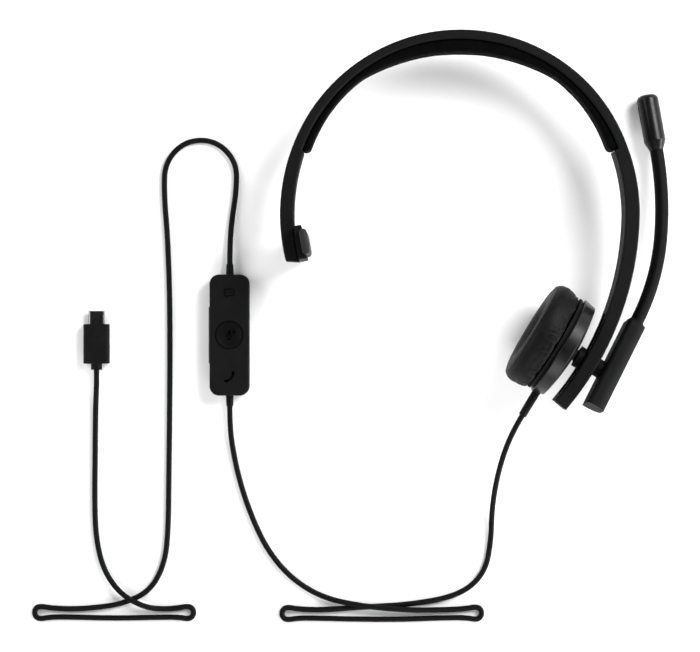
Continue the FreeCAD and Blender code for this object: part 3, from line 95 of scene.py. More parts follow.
def make_camera():
    lens = bpy.data.cameras.new("camera")
    lens.sensor_fit = "HORIZONTAL"
    lens.sensor_width = 36
    lens.lens = lens.sensor_width * CAMERA_SPOT.z / (VIEW_WIDE_MM * MM)
    lens.clip_start = 0.01
    camera = bpy.data.objects.new("camera", lens)
    camera.location = CAMERA_SPOT
    bpy.context.scene.collection.objects.link(camera)
    bpy.context.scene.camera = camera


make_camera()


# ---------------------------------------------------------------- node materials

def new_material(name, **sockets):
    """A Principled surface whose even values stand on its own sockets."""
    made = bpy.data.materials.new(name)
    made.use_nodes = True
    shader = made.node_tree.nodes["Principled BSDF"]
    for socket, number in sockets.items():
        shader.inputs[socket.replace("_", " ")].default_value = number
    return made, made.node_tree, shader


def add_node(tree, kind, **values):
    """A node, with its inputs set by name."""
    node = tree.nodes.new("ShaderNode" + kind)
    for socket, number in values.items():
        node.inputs[socket.replace("_", " ")].default_value = number
    return node


def object_place(tree, stretch=(1, 1, 1)):
    """The place on the piece, in metres, that patterns follow."""
    spot = add_node(tree, "TexCoord")
    scaled = add_node(tree, "Mapping", Scale=stretch)
    tree.links.new(spot.outputs["Object"], scaled.inputs["Vector"])
    return scaled.outputs["Vector"]


def noise_field(tree, place, size_mm, detail=3.0):
    """Noise whose blotches are about a size in millimetres."""
    field = add_node(tree, "TexNoise", Scale=1 / (size_mm * MM), Detail=detail, Roughness=0.55)
    tree.links.new(place, field.inputs["Vector"])
    return field.outputs["Fac"]


def cell_field(tree, place, size_mm, feature="F1"):
    """Cells about a size in millimetres, as the distance from each cell's middle."""
    field = add_node(tree, "TexVoronoi", Scale=1 / (size_mm * MM))
    field.feature = feature
    tree.links.new(place, field.inputs["Vector"])
    return field.outputs["Distance"]


# Most of a noise field's values lie between these two.
FIELD_LOW, FIELD_HIGH = 0.3, 0.7


def drive_colour(tree, shader, field, dark, light):
    ramp = add_node(tree, "ValToRGB")
    for stop, place, colour in zip(ramp.color_ramp.elements, (FIELD_LOW, FIELD_HIGH), (dark, light)):
        stop.position = place
        stop.color = (*colour, 1)
    tree.links.new(field, ramp.inputs["Fac"])
    tree.links.new(ramp.outputs["Color"], shader.inputs["Base Color"])


def drive_roughness(tree, shader, field, smooth, rough):
    spread = add_node(tree, "MapRange", From_Min=FIELD_LOW, From_Max=FIELD_HIGH, To_Min=smooth,
                      To_Max=rough)
    tree.links.new(field, spread.inputs["Value"])
    tree.links.new(spread.outputs["Result"], shader.inputs["Roughness"])


def drive_bump(tree, shader, layers):
    """Relief from several (field, depth in millimetres, invert) layers."""
    below = None
    for field, depth_mm, invert in layers:
        bump = add_node(tree, "Bump", Strength=1.0, Distance=depth_mm * MM)
        bump.invert = invert
        tree.links.new(field, bump.inputs["Height"])
        if below is not None:
            tree.links.new(below, bump.inputs["Normal"])
        below = bump.outputs["Normal"]
    tree.links.new(below, shader.inputs["Normal"])


def moulded_plastic(name, dark, light, smooth, rough, grain_mm=0.22, grain_depth_mm=0.006, **sockets):
    """Moulded plastic or rubber with a fine eroded grain and faint uneven gloss."""
    wave_mm, wave_depth_mm, gloss_mm = 9.0, 0.02, 2.4
    made, tree, shader = new_material(name, **sockets)
    place = object_place(tree)
    wave = noise_field(tree, place, wave_mm, detail=4.0)
    grain = noise_field(tree, place, grain_mm, detail=2.0)
    drive_colour(tree, shader, wave, dark, light)
    drive_roughness(tree, shader, noise_field(tree, place, gloss_mm, detail=5.0), smooth, rough)
    drive_bump(tree, shader, [(wave, wave_depth_mm, False), (grain, grain_depth_mm, False)])
    return made


def grained_leather(name, dark, light, smooth, rough, cell_mm, depth_mm, **sockets):
    """Leatherette: rounded pebbles and wider swells between fine creases."""
    stain_mm, gloss_mm, pore_mm = 5.0, 1.3, 0.12
    swell_size, swell_depth, pore_depth = 2.6, 1.5, 0.3
    made, tree, shader = new_material(name, **sockets)
    place = object_place(tree)
    pebbles = cell_field(tree, place, cell_mm)
    swells = cell_field(tree, place, cell_mm * swell_size, "SMOOTH_F1")
    stains = noise_field(tree, place, stain_mm, detail=5.0)
    drive_colour(tree, shader, stains, dark, light)
    drive_roughness(tree, shader, noise_field(tree, place, gloss_mm, detail=4.0), smooth, rough)
    pores = noise_field(tree, place, pore_mm, detail=2.0)
    drive_bump(tree, shader, [(pebbles, depth_mm, True), (swells, depth_mm * swell_depth, True),
                              (pores, depth_mm * pore_depth, False)])
    return made


def brushed_metal(name, dark, light, smooth, rough, stretch, **sockets):
    """Metal with fine lines along one direction."""
    line_mm, line_depth_mm, stain_mm = 0.12, 0.002, 3.0
    made, tree, shader = new_material(name, Metallic=1.0, **sockets)
    lines = noise_field(tree, object_place(tree, stretch), line_mm)
    stains = noise_field(tree, object_place(tree), stain_mm, detail=4.0)
    drive_colour(tree, shader, stains, dark, light)
    drive_roughness(tree, shader, lines, smooth, rough)
    drive_bump(tree, shader, [(lines, line_depth_mm, False)])
    return made


def woven_cloth(name, dark, light, thread_mm, **sockets):
    """A plain weave, from two crossed waves."""
    wave_period = 0.31  # the length of one band of a wave node at scale 1
    thread_relief = 0.4
    made, tree, shader = new_material(name, Roughness=0.9, **sockets)
    place = object_place(tree)
    waves = []
    for direction in ("Y", "Z"):
        wave = add_node(tree, "TexWave", Scale=wave_period / (thread_mm * MM), Distortion=0.4)
        wave.bands_direction = direction
        tree.links.new(place, wave.inputs["Vector"])
        waves.append(wave.outputs["Fac"])
    weave = add_node(tree, "Math")
    weave.operation = "MAXIMUM"
    for number, wave in enumerate(waves):
        tree.links.new(wave, weave.inputs[number])
    # The gaps between the threads are painted darker than the raised threads, following the relief: painted shade.
    drive_colour(tree, shader, weave.outputs["Value"], dark, light)
    drive_bump(tree, shader, [(weave.outputs["Value"], thread_mm * thread_relief, False)])
    return made


def open_foam(name, dark, light, cell_mm, **sockets):
    """Foam with open cells, half as deep as they are wide."""
    made, tree, shader = new_material(name, Roughness=0.95, **sockets)
    cells = cell_field(tree, object_place(tree), cell_mm)
    # The cells' hollows are painted darker than their rims, following the relief: painted shade in the pits.
    drive_colour(tree, shader, cells, dark, light)
    drive_bump(tree, shader, [(cells, cell_mm / 2, False)])
    return made


SLOT_MATERIALS = {
    "satin_black_plastic": moulded_plastic(
        "satin_black_plastic", (0.0021, 0.0022, 0.0024), (0.0033, 0.0034, 0.0037), 0.3, 0.37,
        Specular_IOR_Level=0.24),
    "gloss_black_plastic": moulded_plastic(
        "gloss_black_plastic", (0.0025, 0.0025, 0.0028), (0.0038, 0.0038, 0.0042), 0.2, 0.28,
        grain_depth_mm=0.002, Specular_IOR_Level=0.35),
    "grey_rubber": moulded_plastic(
        "grey_rubber", (0.008, 0.0082, 0.0088), (0.012, 0.0122, 0.0128), 0.55, 0.66, grain_mm=0.35,
        grain_depth_mm=0.012, Specular_IOR_Level=0.2),
    "cord_rubber": moulded_plastic(
        "cord_rubber", (0.0014, 0.0014, 0.0016), (0.0024, 0.0024, 0.0027), 0.54, 0.64, grain_mm=0.3,
        grain_depth_mm=0.01, Specular_IOR_Level=0.09),
    "leatherette": grained_leather(
        "leatherette", (0.0006, 0.0006, 0.0006), (0.002, 0.0019, 0.0019), 0.5, 0.6, 0.55, 0.06,
        Specular_IOR_Level=0.12),
    "pad_fabric": grained_leather(
        "pad_fabric", (0.0006, 0.0006, 0.0007), (0.0013, 0.0013, 0.0014), 0.76, 0.88, 0.3, 0.02,
        Specular_IOR_Level=0.03),
    "dark_chrome": brushed_metal(
        "dark_chrome", (0.13, 0.133, 0.14), (0.19, 0.193, 0.2), 0.2, 0.3, (1, 0.06, 1)),
    "steel": brushed_metal("steel", (0.42, 0.42, 0.43), (0.55, 0.55, 0.56), 0.25, 0.38, (1, 1, 0.1)),
    "circuit_board": moulded_plastic(
        "circuit_board", (0.008, 0.07, 0.025), (0.012, 0.1, 0.038), 0.3, 0.42, Coat_Weight=0.3),
    "copper_wire": brushed_metal(
        "copper_wire", (0.5, 0.22, 0.09), (0.66, 0.31, 0.14), 0.28, 0.4, (0.05, 1, 1)),
    "acoustic_cloth": woven_cloth("acoustic_cloth", (0.004, 0.004, 0.004), (0.016, 0.016, 0.017), 0.45),
    "foam": open_foam("foam", (0.006, 0.006, 0.006), (0.022, 0.022, 0.023), 0.5),
    "white_mylar": moulded_plastic(
        "white_mylar", (0.55, 0.55, 0.53), (0.68, 0.68, 0.65), 0.25, 0.35, grain_depth_mm=0.002),
    "insulator_plastic": moulded_plastic(
        "insulator_plastic", (0.0004, 0.0004, 0.0004), (0.0009, 0.0009, 0.0009), 0.7, 0.8,
        Specular_IOR_Level=0.01),
}

# The band, the boom's hub, the cup's inner rings and the remote are moulded in a duller grade.
DULL_PLASTIC = moulded_plastic(
    "dull_black_plastic", (0.0018, 0.0019, 0.0022), (0.0031, 0.0032, 0.0036), 0.62, 0.7,
    grain_depth_mm=0.01, Specular_IOR_Level=0.1)
DULL_NODES = ["headband", "band_end_cap", "temple_bar_holder", "driver_baffle", "cushion_ring",
              "neck_stem", "boom_base", "boom_base_cover", "remote_back_cover", "remote_front_frame",
              "remote_key_plate", "plug_body"]

for part in frame["record"]["subparts"]:
    node = frame["nodes"][part["node"]]
    finish = DULL_PLASTIC if part["node"] in DULL_NODES else SLOT_MATERIALS[part["material_slot"]]
    if not node.material_slots:
        node.data.materials.append(None)
    for material_slot in node.material_slots:
        material_slot.material = finish


# ---------------------------------------------------------------- making pieces

def finish_piece(piece, body, slot):
    """Give a piece its finish and, unless it bends between bodies, the body that it moves with."""
    piece.data.materials.clear()
    piece.data.materials.append(SLOT_MATERIALS[slot])
    if body is not None:
        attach(piece, body)
    return piece


def mesh_object(name, points, faces):
    """A smooth mesh from points in metres."""
    mesh = bpy.data.meshes.new(name)
    mesh.from_pydata([tuple(point) for point in points], [], faces)
    mesh.update()
    mesh.shade_smooth()
    made = bpy.data.objects.new(name, mesh)
    bpy.context.scene.collection.objects.link(made)
    return made


def make_active(piece):
    bpy.ops.object.select_all(action="DESELECT")
    piece.select_set(True)
    bpy.context.view_layer.objects.active = piece


def apply_modifiers(piece):
    make_active(piece)
    for modifier in list(piece.modifiers):
        bpy.ops.object.modifier_apply(modifier=modifier.name)
    piece.data.shade_smooth()


def coordinates(piece):
    flat = np.empty(len(piece.data.vertices) * 3)
    piece.data.vertices.foreach_get("co", flat)
    return flat.reshape(-1, 3)


def set_coordinates(piece, places):
    piece.data.vertices.foreach_set("co", np.asarray(places, dtype=np.float64).ravel())
    piece.data.update()


# ---------------------------------------------------------------- cords

CORD_WIDE_MM = 2.8

# The same corners as the solids of the cord, from exit to exit, in millimetres.
CUP_TO_REMOTE = [
    (23.88, -96.95, 26.2), (19.19, -104.75, 26.2), (14.3, -118.0, 21.5), (11.4, -133.0, 11.5),
    (10.1, -147.5, 3.4), (9.9, -162.0, 1.4), (6.8, -178.6, 1.4), (-5.8, -189.8, 1.4),
    (-30.0, -194.6, 1.4), (-56.0, -196.0, 1.4), (-77.5, -197.5, 1.4), (-88.9, -197.0, 1.4),
    (-94.8, -195.9, 1.4), (-97.0, -197.8, 1.4), (-97.0, -200.8, 1.4), (-94.8, -202.7, 1.4),
    (-88.9, -201.6, 1.4), (-77.4, -201.7, 1.4), (-60.0, -202.2, 1.4), (-37.0, -202.3, 1.4),
    (-14.6, -201.5, 1.4), (-3.1, -201.4, 1.4), (2.8, -202.5, 1.4), (5.0, -200.6, 1.4),
    (5.0, -197.6, 1.4), (2.8, -195.7, 1.4), (-3.1, -196.8, 1.4), (-14.6, -197.5, 1.4),
    (-37.0, -197.1, 4.4), (-61.0, -194.4, 4.4), (-78.0, -190.4, 1.4), (-92.4, -181.2, 1.4),
    (-103.8, -168.0, 1.4), (-111.8, -151.8, 1.4), (-118.4, -133.0, 1.4), (-122.4, -114.6, 1.5),
    (-123.6, -101.8, 3.4), (-123.6, -93.05, 3.4),
]

REMOTE_TO_PLUG = [
    (-123.6, -20.65, 3.4), (-123.6, -12.6, 3.4), (-122.9, 0.8, 1.4), (-120.4, 16.4, 1.4),
    (-120.2, 31.6, 1.4), (-130.8, 42.7, 1.4), (-146.2, 42.7, 1.4), (-156.9, 31.6, 1.4),
    (-157.4, 15.6, 1.4), (-155.5, -7.0, 1.4), (-154.3, -42.0, 1.4), (-154.4, -90.0, 1.4),
    (-154.9, -130.0, 1.4), (-155.2, -156.0, 1.4), (-156.9, -173.6, 1.4), (-164.4, -187.8, 1.4),
    (-178.6, -194.3, 1.4), (-191.5, -196.2, 1.4), (-204.0, -197.0, 1.4), (-215.4, -196.5, 1.4),
    (-221.3, -195.4, 1.4), (-223.5, -197.3, 1.4), (-223.5, -200.3, 1.4), (-221.3, -202.2, 1.4),
    (-215.4, -201.1, 1.4), (-204.0, -201.1, 1.4), (-184.0, -201.7, 1.4), (-162.8, -201.3, 1.4),
    (-150.4, -201.1, 1.4), (-144.6, -202.2, 1.4), (-142.3, -200.3, 1.4), (-142.3, -197.3, 1.4),
    (-144.6, -195.4, 1.4), (-150.4, -196.5, 1.4), (-159.2, -197.1, 1.4), (-168.2, -195.3, 4.4),
    (-179.3, -189.0, 4.4), (-187.9, -177.9, 1.4), (-191.8, -163.4, 1.4), (-192.9, -146.0, 1.4),
    (-192.6, -118.0, 1.4), (-192.4, -94.5, 1.5), (-191.65, -83.0, 3.2), (-191.65, -74.55, 3.2),
]


def cord_piece(name, node, route):
    """A round cord along a route, in the place of its CAD solid."""
    curve = bpy.data.curves.new(name, "CURVE")
    curve.dimensions = "3D"
    curve.bevel_depth = CORD_WIDE_MM / 2 * MM
    curve.bevel_resolution = 5
    curve.resolution_u = 10
    curve.use_fill_caps = True
    line = curve.splines.new("NURBS")
    line.points.add(len(route) - 1)
    for point, spot in zip(line.points, route):
        point.co = (*millimetres(*spot), 1)
    line.order_u = 3
    line.use_endpoint_u = True
    line.use_smooth = True
    made = bpy.data.objects.new(name, curve)
    bpy.context.scene.collection.objects.link(made)
    finish_piece(made, "earcup", "cord_rubber")
    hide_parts(node)
    return made


cup_cord = cord_piece("cup_lead", "cord_cup_to_remote", CUP_TO_REMOTE)
plug_cord = cord_piece("plug_lead", "cord_remote_to_plug", REMOTE_TO_PLUG)


# ---------------------------------------------------------------- soft pieces

SIM_FRAMES = 20
NO_LENGTH = 1e-9


def inflate(piece, pressure, cap_mm, pinned, shrink=0.0):
    """Puff a closed skin out with cloth simulation. Pinned points stay, and no point moves more than
    the cap."""
    before = coordinates(piece)
    group = piece.vertex_groups.new(name="pinned")
    group.add([int(index) for index in np.nonzero(pinned)[0]], 1.0, "REPLACE")
    cloth = piece.modifiers.new("cloth", "CLOTH")
    settings = cloth.settings
    settings.quality = 6
    settings.mass = 0.15
    settings.tension_stiffness = 25
    settings.compression_stiffness = 25
    settings.shear_stiffness = 12
    settings.bending_stiffness = 0.4
    settings.use_pressure = True
    settings.uniform_pressure_force = pressure
    settings.vertex_group_mass = group.name
    settings.shrink_min = shrink
    settings.shrink_max = shrink
    settings.effector_weights.gravity = 0
    cloth.collision_settings.use_collision = False
    cloth.point_cache.frame_start = 1
    cloth.point_cache.frame_end = SIM_FRAMES
    for number in range(1, SIM_FRAMES + 1):
        bpy.context.scene.frame_set(number)
    make_active(piece)
    bpy.ops.object.modifier_apply(modifier=cloth.name)
    bpy.context.scene.frame_set(1)
    moved = coordinates(piece) - before
    reach = np.maximum(np.linalg.norm(moved, axis=1, keepdims=True), NO_LENGTH)
    set_coordinates(piece, before + moved * np.minimum(1, cap_mm * MM / reach))
    piece.vertex_groups.clear()


def subdivide(piece):
    piece.modifiers.new("subdivision", "SUBSURF").levels = 1
    apply_modifiers(piece)


# The cup's own frame: its axis runs away from the ear, and the cushion is in front of its origin.
BALL_DEPTH_MM = 6.5
CUP_TURN = math.radians(-31)
CUP_AXIS = Vector((math.cos(CUP_TURN), math.sin(CUP_TURN), 0))
CUP_SIDE = Vector((-CUP_AXIS.y, CUP_AXIS.x, 0))
CUP_CENTRE = joint_spot("cup_tilt") - CUP_AXIS * BALL_DEPTH_MM * MM


def in_cup(radius_mm, angle, depth_mm):
    """A point round the cup's axis."""
    return (CUP_CENTRE + CUP_SIDE * radius_mm * MM * math.cos(angle)
            + Vector((0, 0, radius_mm * MM * math.sin(angle))) + CUP_AXIS * depth_mm * MM)


def ring_skin(name, profile, around, place):
    """A closed skin from a closed profile carried round an axis."""
    count = len(profile)
    points = [place(radius, 2 * math.pi * step / around, depth)
              for step in range(around) for radius, depth in profile]
    faces = []
    for step in range(around):
        after = (step + 1) % around
        for number in range(count):
            following = (number + 1) % count
            faces.append((step * count + number, step * count + following,
                          after * count + following, after * count + number))
    return mesh_object(name, points, faces)


# The section of the ear cushion as (radius, depth), from the rear seam over the outer wall and the
# front to the hole.
CUSHION_SECTION_MM = [
    (24.8, -1.9), (25.6, -2.6), (26.2, -4.2), (26.9, -6.8), (27.3, -10.2), (26.9, -13.2),
    (25.2, -15.3), (21.6, -16.2), (16.4, -15.8), (12.6, -14.2), (10.9, -11.2), (10.9, -7.4),
    (11.8, -4.0), (13.4, -1.9),
]
CUSHION_GRID_MM = 0.95
CUSHION_REAR_STEPS = 6
CUSHION_AROUND = 200
CUSHION_REAR_MM = -1.85
CUSHION_FRONT_MM = -16.2
CUSHION_LIMIT_MM = 27.5
CUSHION_SEAM_MM = 0.4
TABLE_GAP_MM = 0.1

# The gathers that the rear seam draws into the outer wall.
GATHER_COUNT = 50
GATHER_DEPTH_MM = 1.3
GATHER_LONG_MM = 5.5
GATHER_LONG_SPREAD = 0.7
GATHER_STRENGTH, GATHER_STRENGTH_SPREAD, GATHER_WEAKEST = 0.55, 0.9, 0.25
GATHER_WANDER = 3.2
GATHER_BLUNTNESS = 0.6
GATHER_FADE = 0.8
GATHER_INNER_MM = 19.5
GATHER_PULL_BACK = 0.5


def cushion_profile():
    """The section in even steps, closed along the rear."""
    dense = []
    for (radius, depth), (next_radius, next_depth) in zip(CUSHION_SECTION_MM, CUSHION_SECTION_MM[1:]):
        long = math.hypot(next_radius - radius, next_depth - depth)
        steps = max(1, round(long / CUSHION_GRID_MM))
        dense += [(radius + (next_radius - radius) * step / steps,
                   depth + (next_depth - depth) * step / steps) for step in range(steps)]
    seam, hole = CUSHION_SECTION_MM[0], CUSHION_SECTION_MM[-1]
    dense += [(hole[0] + (seam[0] - hole[0]) * step / CUSHION_REAR_STEPS, hole[1])
              for step in range(CUSHION_REAR_STEPS)]
    return dense


def cup_polar(places):
    """Radius, angle and depth of points in the cup's frame, in millimetres and radians."""
    offset = (places - np.array(CUP_CENTRE)) / MM
    side = offset @ np.array(CUP_SIDE)
    depth = offset @ np.array(CUP_AXIS)
    return np.hypot(side, offset[:, 2]), np.arctan2(offset[:, 2], side), depth


def noise_round(turn, pace, level):
    """Even noise from -1 to 1 that closes on itself round the cup."""
    return noise.noise(Vector((math.cos(turn) * pace, math.sin(turn) * pace, level)))


def gather(turn, depth):
    """How far the seam draws in the outer wall, in millimetres, at an angle and a depth."""
    wander = GATHER_WANDER * noise_round(turn, pace=5, level=depth * 0.12)
    spread = GATHER_STRENGTH_SPREAD * noise_round(turn, pace=9, level=4.0)
    strength = max(GATHER_WEAKEST, GATHER_STRENGTH + spread)
    reach = GATHER_LONG_MM * (1 + GATHER_LONG_SPREAD * noise_round(turn, pace=14, level=9.0))
    crease = abs(math.sin(turn * GATHER_COUNT / 2 + wander)) ** GATHER_BLUNTNESS
    fade = max(0.0, 1 - (CUSHION_REAR_MM - depth) / reach) ** GATHER_FADE
    return GATHER_DEPTH_MM * strength * (1 - crease) * fade


def make_ear_cushion():
    cushion = ring_skin("ear_cushion_cover", cushion_profile(), CUSHION_AROUND, in_cup)
    depth = cup_polar(coordinates(cushion))[2]
    inflate(cushion, pressure=4.0, cap_mm=0.8, shrink=-0.06,
            pinned=depth > CUSHION_REAR_MM - CUSHION_SEAM_MM)
    subdivide(cushion)
    radius, angle, depth = cup_polar(coordinates(cushion))
    longest_mm = GATHER_LONG_MM * (1 + GATHER_LONG_SPREAD)
    gathered = (radius > GATHER_INNER_MM) & (depth >= CUSHION_REAR_MM - longest_mm)
    for index in np.nonzero(gathered)[0]:
        inward = gather(angle[index], depth[index])
        radius[index] -= inward
        depth[index] += GATHER_PULL_BACK * inward
    radius = np.minimum(radius, CUSHION_LIMIT_MM)
    depth = np.clip(depth, CUSHION_FRONT_MM, CUSHION_REAR_MM)
    places = np.array([in_cup(r, a, d) for r, a, d in zip(radius, angle, depth)])
    places[:, 2] = np.maximum(places[:, 2], TABLE_GAP_MM * MM)
    set_coordinates(cushion, places)
    finish_piece(cushion, "earcup", "leatherette")
    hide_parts("ear_cushion")


def soft_copy(name, node, body, slot, voxel_mm, pressure, cap_mm, pinned):
    """A padded piece in the place of a CAD solid: remeshed, puffed out and smoothed."""
    copy = bpy.data.objects.new(name, frame["nodes"][node].data.copy())
    bpy.context.scene.collection.objects.link(copy)
    remesh = copy.modifiers.new("remesh", "REMESH")
    remesh.mode = "VOXEL"
    remesh.voxel_size = voxel_mm * MM
    rounding = copy.modifiers.new("rounding", "SMOOTH")
    rounding.factor = 0.5
    rounding.iterations = 6
    apply_modifiers(copy)
    inflate(copy, pressure, cap_mm, pinned(coordinates(copy)))
    subdivide(copy)
    finish_piece(copy, body, slot)
    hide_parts(node)


BAND_CENTRE = np.array(millimetres(-7.7, 7.36, 26.2))
BAND_SEAT_RADIUS_MM = 82.6


def against_band(places):
    """Points of the crown's pad that lie on the band."""
    flat = places[:, :2] - BAND_CENTRE[:2]
    return np.hypot(flat[:, 0], flat[:, 1]) > BAND_SEAT_RADIUS_MM * MM


def behind_temple(places):
    """Points of the temple bar's pad that lie in its holder."""
    low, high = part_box("temple_bar_pad")
    middle = (low[0] + high[0]) / 2
    return places[:, 0] < middle


make_ear_cushion()
soft_copy("headband_pad_cover", "headband_pad", "headband", "pad_fabric", voxel_mm=1.3, pressure=3.0,
          cap_mm=0.6, pinned=against_band)
soft_copy("temple_bar_pad_cover", "temple_bar_pad", "headband", "grey_rubber", voxel_mm=0.8,
          pressure=2.0, cap_mm=0.25, pinned=behind_temple)


# ---------------------------------------------------------------- boom sleeves

# The boom's plane, from its pivot: out along the stem, along the boom, and the bends' axis.
BOOM_OUT = joint_axis("boom_swing")
BOOM_BEND = joint_axis("boom_bend_lower")
BOOM_ALONG = BOOM_BEND.cross(BOOM_OUT)
TUBE_RADIUS_MM = 3.4
LOW_CENTRE_MM = (-117.4, 28.1)
LOW_RADIUS_MM = 116.4
HIGH_RADIUS_MM = 174.3
ARC_CHANGE = 23.5
SLEEVE_START, SLEEVE_SPLIT, SLEEVE_END = 1.2, 20.5, 38.6
LOW_JOINT_ANGLE, HIGH_JOINT_ANGLE = 12.5, 29.5
RINGS_PER_DEGREE = 2
SLEEVE_SIDES = 32


def boom_place(angle_degrees):
    """A point of the boom's centreline, and the direction away from the arc's centre."""
    angle = math.radians(angle_degrees)
    change = math.radians(ARC_CHANGE)
    centre_x, centre_y = LOW_CENTRE_MM
    radius = LOW_RADIUS_MM
    if angle_degrees > ARC_CHANGE:
        centre_x += (LOW_RADIUS_MM - HIGH_RADIUS_MM) * math.cos(change)
        centre_y += (LOW_RADIUS_MM - HIGH_RADIUS_MM) * math.sin(change)
        radius = HIGH_RADIUS_MM
    away = BOOM_OUT * math.cos(angle) + BOOM_ALONG * math.sin(angle)
    centre = joint_spot("boom_swing") + (BOOM_OUT * centre_x + BOOM_ALONG * centre_y) * MM
    return centre + away * radius * MM, away


def sleeve(name, first, last, joint_angle, bodies, *nodes):
    """A bendable stretch of the boom, built where it rests and attached to no body."""
    spans = RINGS_PER_DEGREE * round(last - first)
    points = []
    for step in range(spans + 1):
        spot, away = boom_place(first + (last - first) * step / spans)
        for side in range(SLEEVE_SIDES):
            turn = 2 * math.pi * side / SLEEVE_SIDES
            points.append(spot + (away * math.cos(turn) + BOOM_BEND * math.sin(turn))
                          * TUBE_RADIUS_MM * MM)
    faces = []
    for start in range(0, spans * SLEEVE_SIDES, SLEEVE_SIDES):
        for side in range(SLEEVE_SIDES):
            after = (side + 1) % SLEEVE_SIDES
            faces.append((start + side, start + after,
                          start + SLEEVE_SIDES + after, start + SLEEVE_SIDES + side))
    made = finish_piece(mesh_object(name, points, faces), None, "cord_rubber")
    joint, away = boom_place(joint_angle)
    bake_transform(made)
    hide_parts(*nodes)


sleeve("boom_sleeve_lower", SLEEVE_START, SLEEVE_SPLIT, LOW_JOINT_ANGLE,
       ("boom_base", "boom_middle"), "boom_arm_lower", "boom_arm_middle")
sleeve("boom_sleeve_upper", SLEEVE_SPLIT, SLEEVE_END, HIGH_JOINT_ANGLE,
       ("boom_middle", "mic_head"), "boom_arm_upper")


# ---------------------------------------------------------------- symbols on the remote

SYMBOL_PROUD_MM = 0.05
SYMBOL_DEEP_MM = 0.3
PEN_END_STEPS = 8


def arc_points(centre_x, centre_y, radius, first, last, steps=14):
    """Points along an arc from one angle to another, in degrees."""
    turns = [math.radians(first + (last - first) * step / steps) for step in range(steps + 1)]
    return [(centre_x + radius * math.cos(turn), centre_y + radius * math.sin(turn)) for turn in turns]


def stroke_outline(line, wide):
    """The closed outline of a line drawn with a round pen."""
    half = wide / 2
    sides = ([], [])
    for number, (x, y) in enumerate(line):
        before = line[max(0, number - 1)]
        after = line[min(len(line) - 1, number + 1)]
        heading = math.atan2(after[1] - before[1], after[0] - before[0])
        for side, turn in zip(sides, (math.pi / 2, -math.pi / 2)):
            side.append((x + half * math.cos(heading + turn), y + half * math.sin(heading + turn)))
    start = math.degrees(math.atan2(line[1][1] - line[0][1], line[1][0] - line[0][0]))
    end = math.degrees(math.atan2(line[-1][1] - line[-2][1], line[-1][0] - line[-2][0]))
    first_cap = arc_points(*line[0], half, start + 90, start + 270, PEN_END_STEPS)
    last_cap = arc_points(*line[-1], half, end - 90, end + 90, PEN_END_STEPS)
    return first_cap + sides[1][1:-1] + last_cap + sides[0][-2:0:-1]


def symbol(name, body, strokes, centre, surface):
    """Strokes of (line, width) as thin raised plates on a surface, whose height is a function of the
    place on it."""
    shape = bmesh.new()
    for line, wide in strokes:
        outline = stroke_outline(line, wide)
        rings = []
        for sink in (SYMBOL_DEEP_MM, -SYMBOL_PROUD_MM):
            rings.append([shape.verts.new(millimetres(centre[0] + x, centre[1] + y,
                                                      surface(x, y) - sink)) for x, y in outline])
        low, high = rings
        shape.faces.new(high)
        shape.faces.new(list(reversed(low)))
        for number in range(len(outline)):
            after = (number + 1) % len(outline)
            shape.faces.new((low[number], low[after], high[after], high[number]))
    mesh = bpy.data.meshes.new(name)
    shape.to_mesh(mesh)
    shape.free()
    made = bpy.data.objects.new(name, mesh)
    bpy.context.scene.collection.objects.link(made)
    finish_piece(made, body, "insulator_plastic")


plate_low, plate_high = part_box("remote_key_plate")
REMOTE_MIDDLE_MM = ((plate_low[0] + plate_high[0]) / 2 / MM, (plate_low[1] + plate_high[1]) / 2 / MM)
PLATE_TOP_MM = plate_high[2] / MM
BUTTON_TOP_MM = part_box("mute_button")[1][2] / MM
DISH_RADIUS_MM = 32
DISH_RIM_MM = 6.3
KEY_REACH_MM = 21.4


def on_plate(x, y):
    """The height of the key plate's flat top."""
    return PLATE_TOP_MM


def on_dish(x, y):
    """The height of the button's hollow top, a part of a sphere."""
    rim_rise = DISH_RADIUS_MM - math.sqrt(DISH_RADIUS_MM ** 2 - DISH_RIM_MM ** 2)
    rise = DISH_RADIUS_MM - math.sqrt(DISH_RADIUS_MM ** 2 - x ** 2 - y ** 2)
    return BUTTON_TOP_MM - rim_rise + rise


def spot_on_remote(up):
    """A place on the remote's centreline, up from its middle."""
    return (REMOTE_MIDDLE_MM[0], REMOTE_MIDDLE_MM[1] + up)


def bubble_corner(x, y, first):
    """A rounded corner that turns right by a quarter."""
    return arc_points(x, y, 0.8, first, first - 90, steps=5)


# The symbols' strokes, each a line and a pen width, in millimetres from the symbol's middle.
BUBBLE_PEN, DOT_PEN, LINE_PEN, CAPSULE_PEN, GRIP_PEN, END_PEN = 0.45, 0.6, 0.5, 1.4, 1.0, 1.3

BUBBLE = [
    (bubble_corner(-1.6, 1.1, 180) + bubble_corner(1.6, 1.1, 90) + bubble_corner(1.6, -0.5, 0)
     + [(-0.3, -1.3), (-1.5, -2.3), (-1.5, -1.3)] + bubble_corner(-1.6, -0.5, 270)
     + [(-2.4, 1.1)], BUBBLE_PEN),
    ([(-1.1, 0.3), (-1.05, 0.3)], DOT_PEN),
    ([(0.0, 0.3), (0.05, 0.3)], DOT_PEN),
    ([(1.1, 0.3), (1.15, 0.3)], DOT_PEN),
]
MICROPHONE = [
    ([(0, 0.2), (0, 1.7)], CAPSULE_PEN),
    (arc_points(0, 0.2, 1.5, 180, 360), LINE_PEN),
    ([(0, -1.4), (0, -2.3)], LINE_PEN),
    ([(-0.9, -2.3), (0.9, -2.3)], LINE_PEN),
    ([(1.7, 2.2), (2.9, 0.9)], LINE_PEN),
    ([(1.7, 0.9), (2.9, 2.2)], LINE_PEN),
]
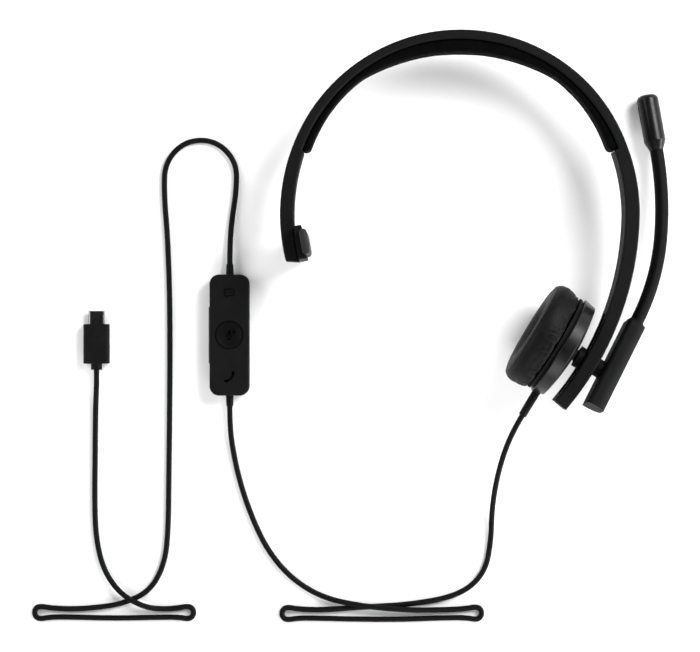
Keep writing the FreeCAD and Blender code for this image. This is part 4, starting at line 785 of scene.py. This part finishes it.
HANDSET = [
    (arc_points(-2.3, 2.5, 4.4, -85, 0, steps=16), GRIP_PEN),
    ([(-1.9, -1.9), (-1.2, -2.05)], END_PEN),
    ([(2.15, 1.55), (2.0, 2.3)], END_PEN),
]

symbol("chat_symbol", "key_plate", BUBBLE, spot_on_remote(KEY_REACH_MM), on_plate)
symbol("mute_symbol", "mute_button", MICROPHONE, spot_on_remote(0), on_dish)
symbol("handset_symbol", "key_plate", HANDSET, spot_on_remote(-KEY_REACH_MM), on_plate)


# ---------------------------------------------------------------- table and light

TABLE_HALF_MM = 6000
TABLE_TOP_MM = -0.1


def make_table():
    corners = [millimetres(x * TABLE_HALF_MM, y * TABLE_HALF_MM, TABLE_TOP_MM)
               for x, y in ((-1, -1), (1, -1), (1, 1), (-1, 1))]
    table = mesh_object("table", corners, [(0, 1, 2, 3)])
    made, tree, shader = new_material("table_top", Specular_IOR_Level=0.1)
    place = object_place(tree)
    stain_mm, gloss_mm = 180, 30
    drive_colour(tree, shader, noise_field(tree, place, stain_mm), (0.9, 0.9, 0.9), (0.92, 0.92, 0.92))
    drive_roughness(tree, shader, noise_field(tree, place, gloss_mm), 0.8, 0.9)
    table.data.materials.append(made)


def make_light(name, spot, wide, high, power):
    """A rectangular light that faces the middle of the object."""
    middle = (Vector(cad_box[0]) + Vector(cad_box[1])) / 2
    lamp = bpy.data.lights.new(name, "AREA")
    lamp.shape = "RECTANGLE"
    lamp.size = wide
    lamp.size_y = high
    lamp.energy = power
    made = bpy.data.objects.new(name, lamp)
    made.location = spot
    made.rotation_euler = (middle - Vector(spot)).to_track_quat("-Z", "Y").to_euler()
    bpy.context.scene.collection.objects.link(made)


def make_world():
    """A studio that is bright near the horizon and dark overhead."""
    world = bpy.data.worlds.new("studio")
    world.use_nodes = True
    bpy.context.scene.world = world
    tree = world.node_tree
    heading = add_node(tree, "TexCoord")
    split = add_node(tree, "SeparateXYZ")
    ramp = add_node(tree, "ValToRGB")
    stops = ramp.color_ramp.elements
    stops[0].position = 0.0
    stops[0].color = (0.95, 0.95, 0.95, 1)
    stops[1].position = 1.0
    stops[1].color = (0.02, 0.02, 0.022, 1)
    for height, glow in ((0.3, 0.95), (0.6, 0.3), (0.85, 0.04)):
        stops.new(height).color = (glow, glow, glow, 1)
    tree.links.new(heading.outputs["Generated"], split.inputs["Vector"])
    tree.links.new(split.outputs["Z"], ramp.inputs["Fac"])
    tree.links.new(ramp.outputs["Color"], tree.nodes["Background"].inputs["Color"])
    tree.nodes["Background"].inputs["Strength"].default_value = 1.1


# Each light's name, place in metres, width and height in metres, and watts.
LIGHTS = [
    ("key_softbox", (0.75, 0.6, 1.0), 0.6, 0.6, 21),
    ("left_softbox", (-1.3, 0.2, 0.9), 1.1, 0.9, 14),
    ("near_softbox", (0.1, -1.4, 0.9), 1.3, 0.8, 15),
    ("right_strip", (1.1, -0.55, 0.3), 1.0, 0.3, 18),
]

make_table()
make_world()
for light in LIGHTS:
    make_light(*light)
bpy.context.scene.view_settings.view_transform = "Standard"
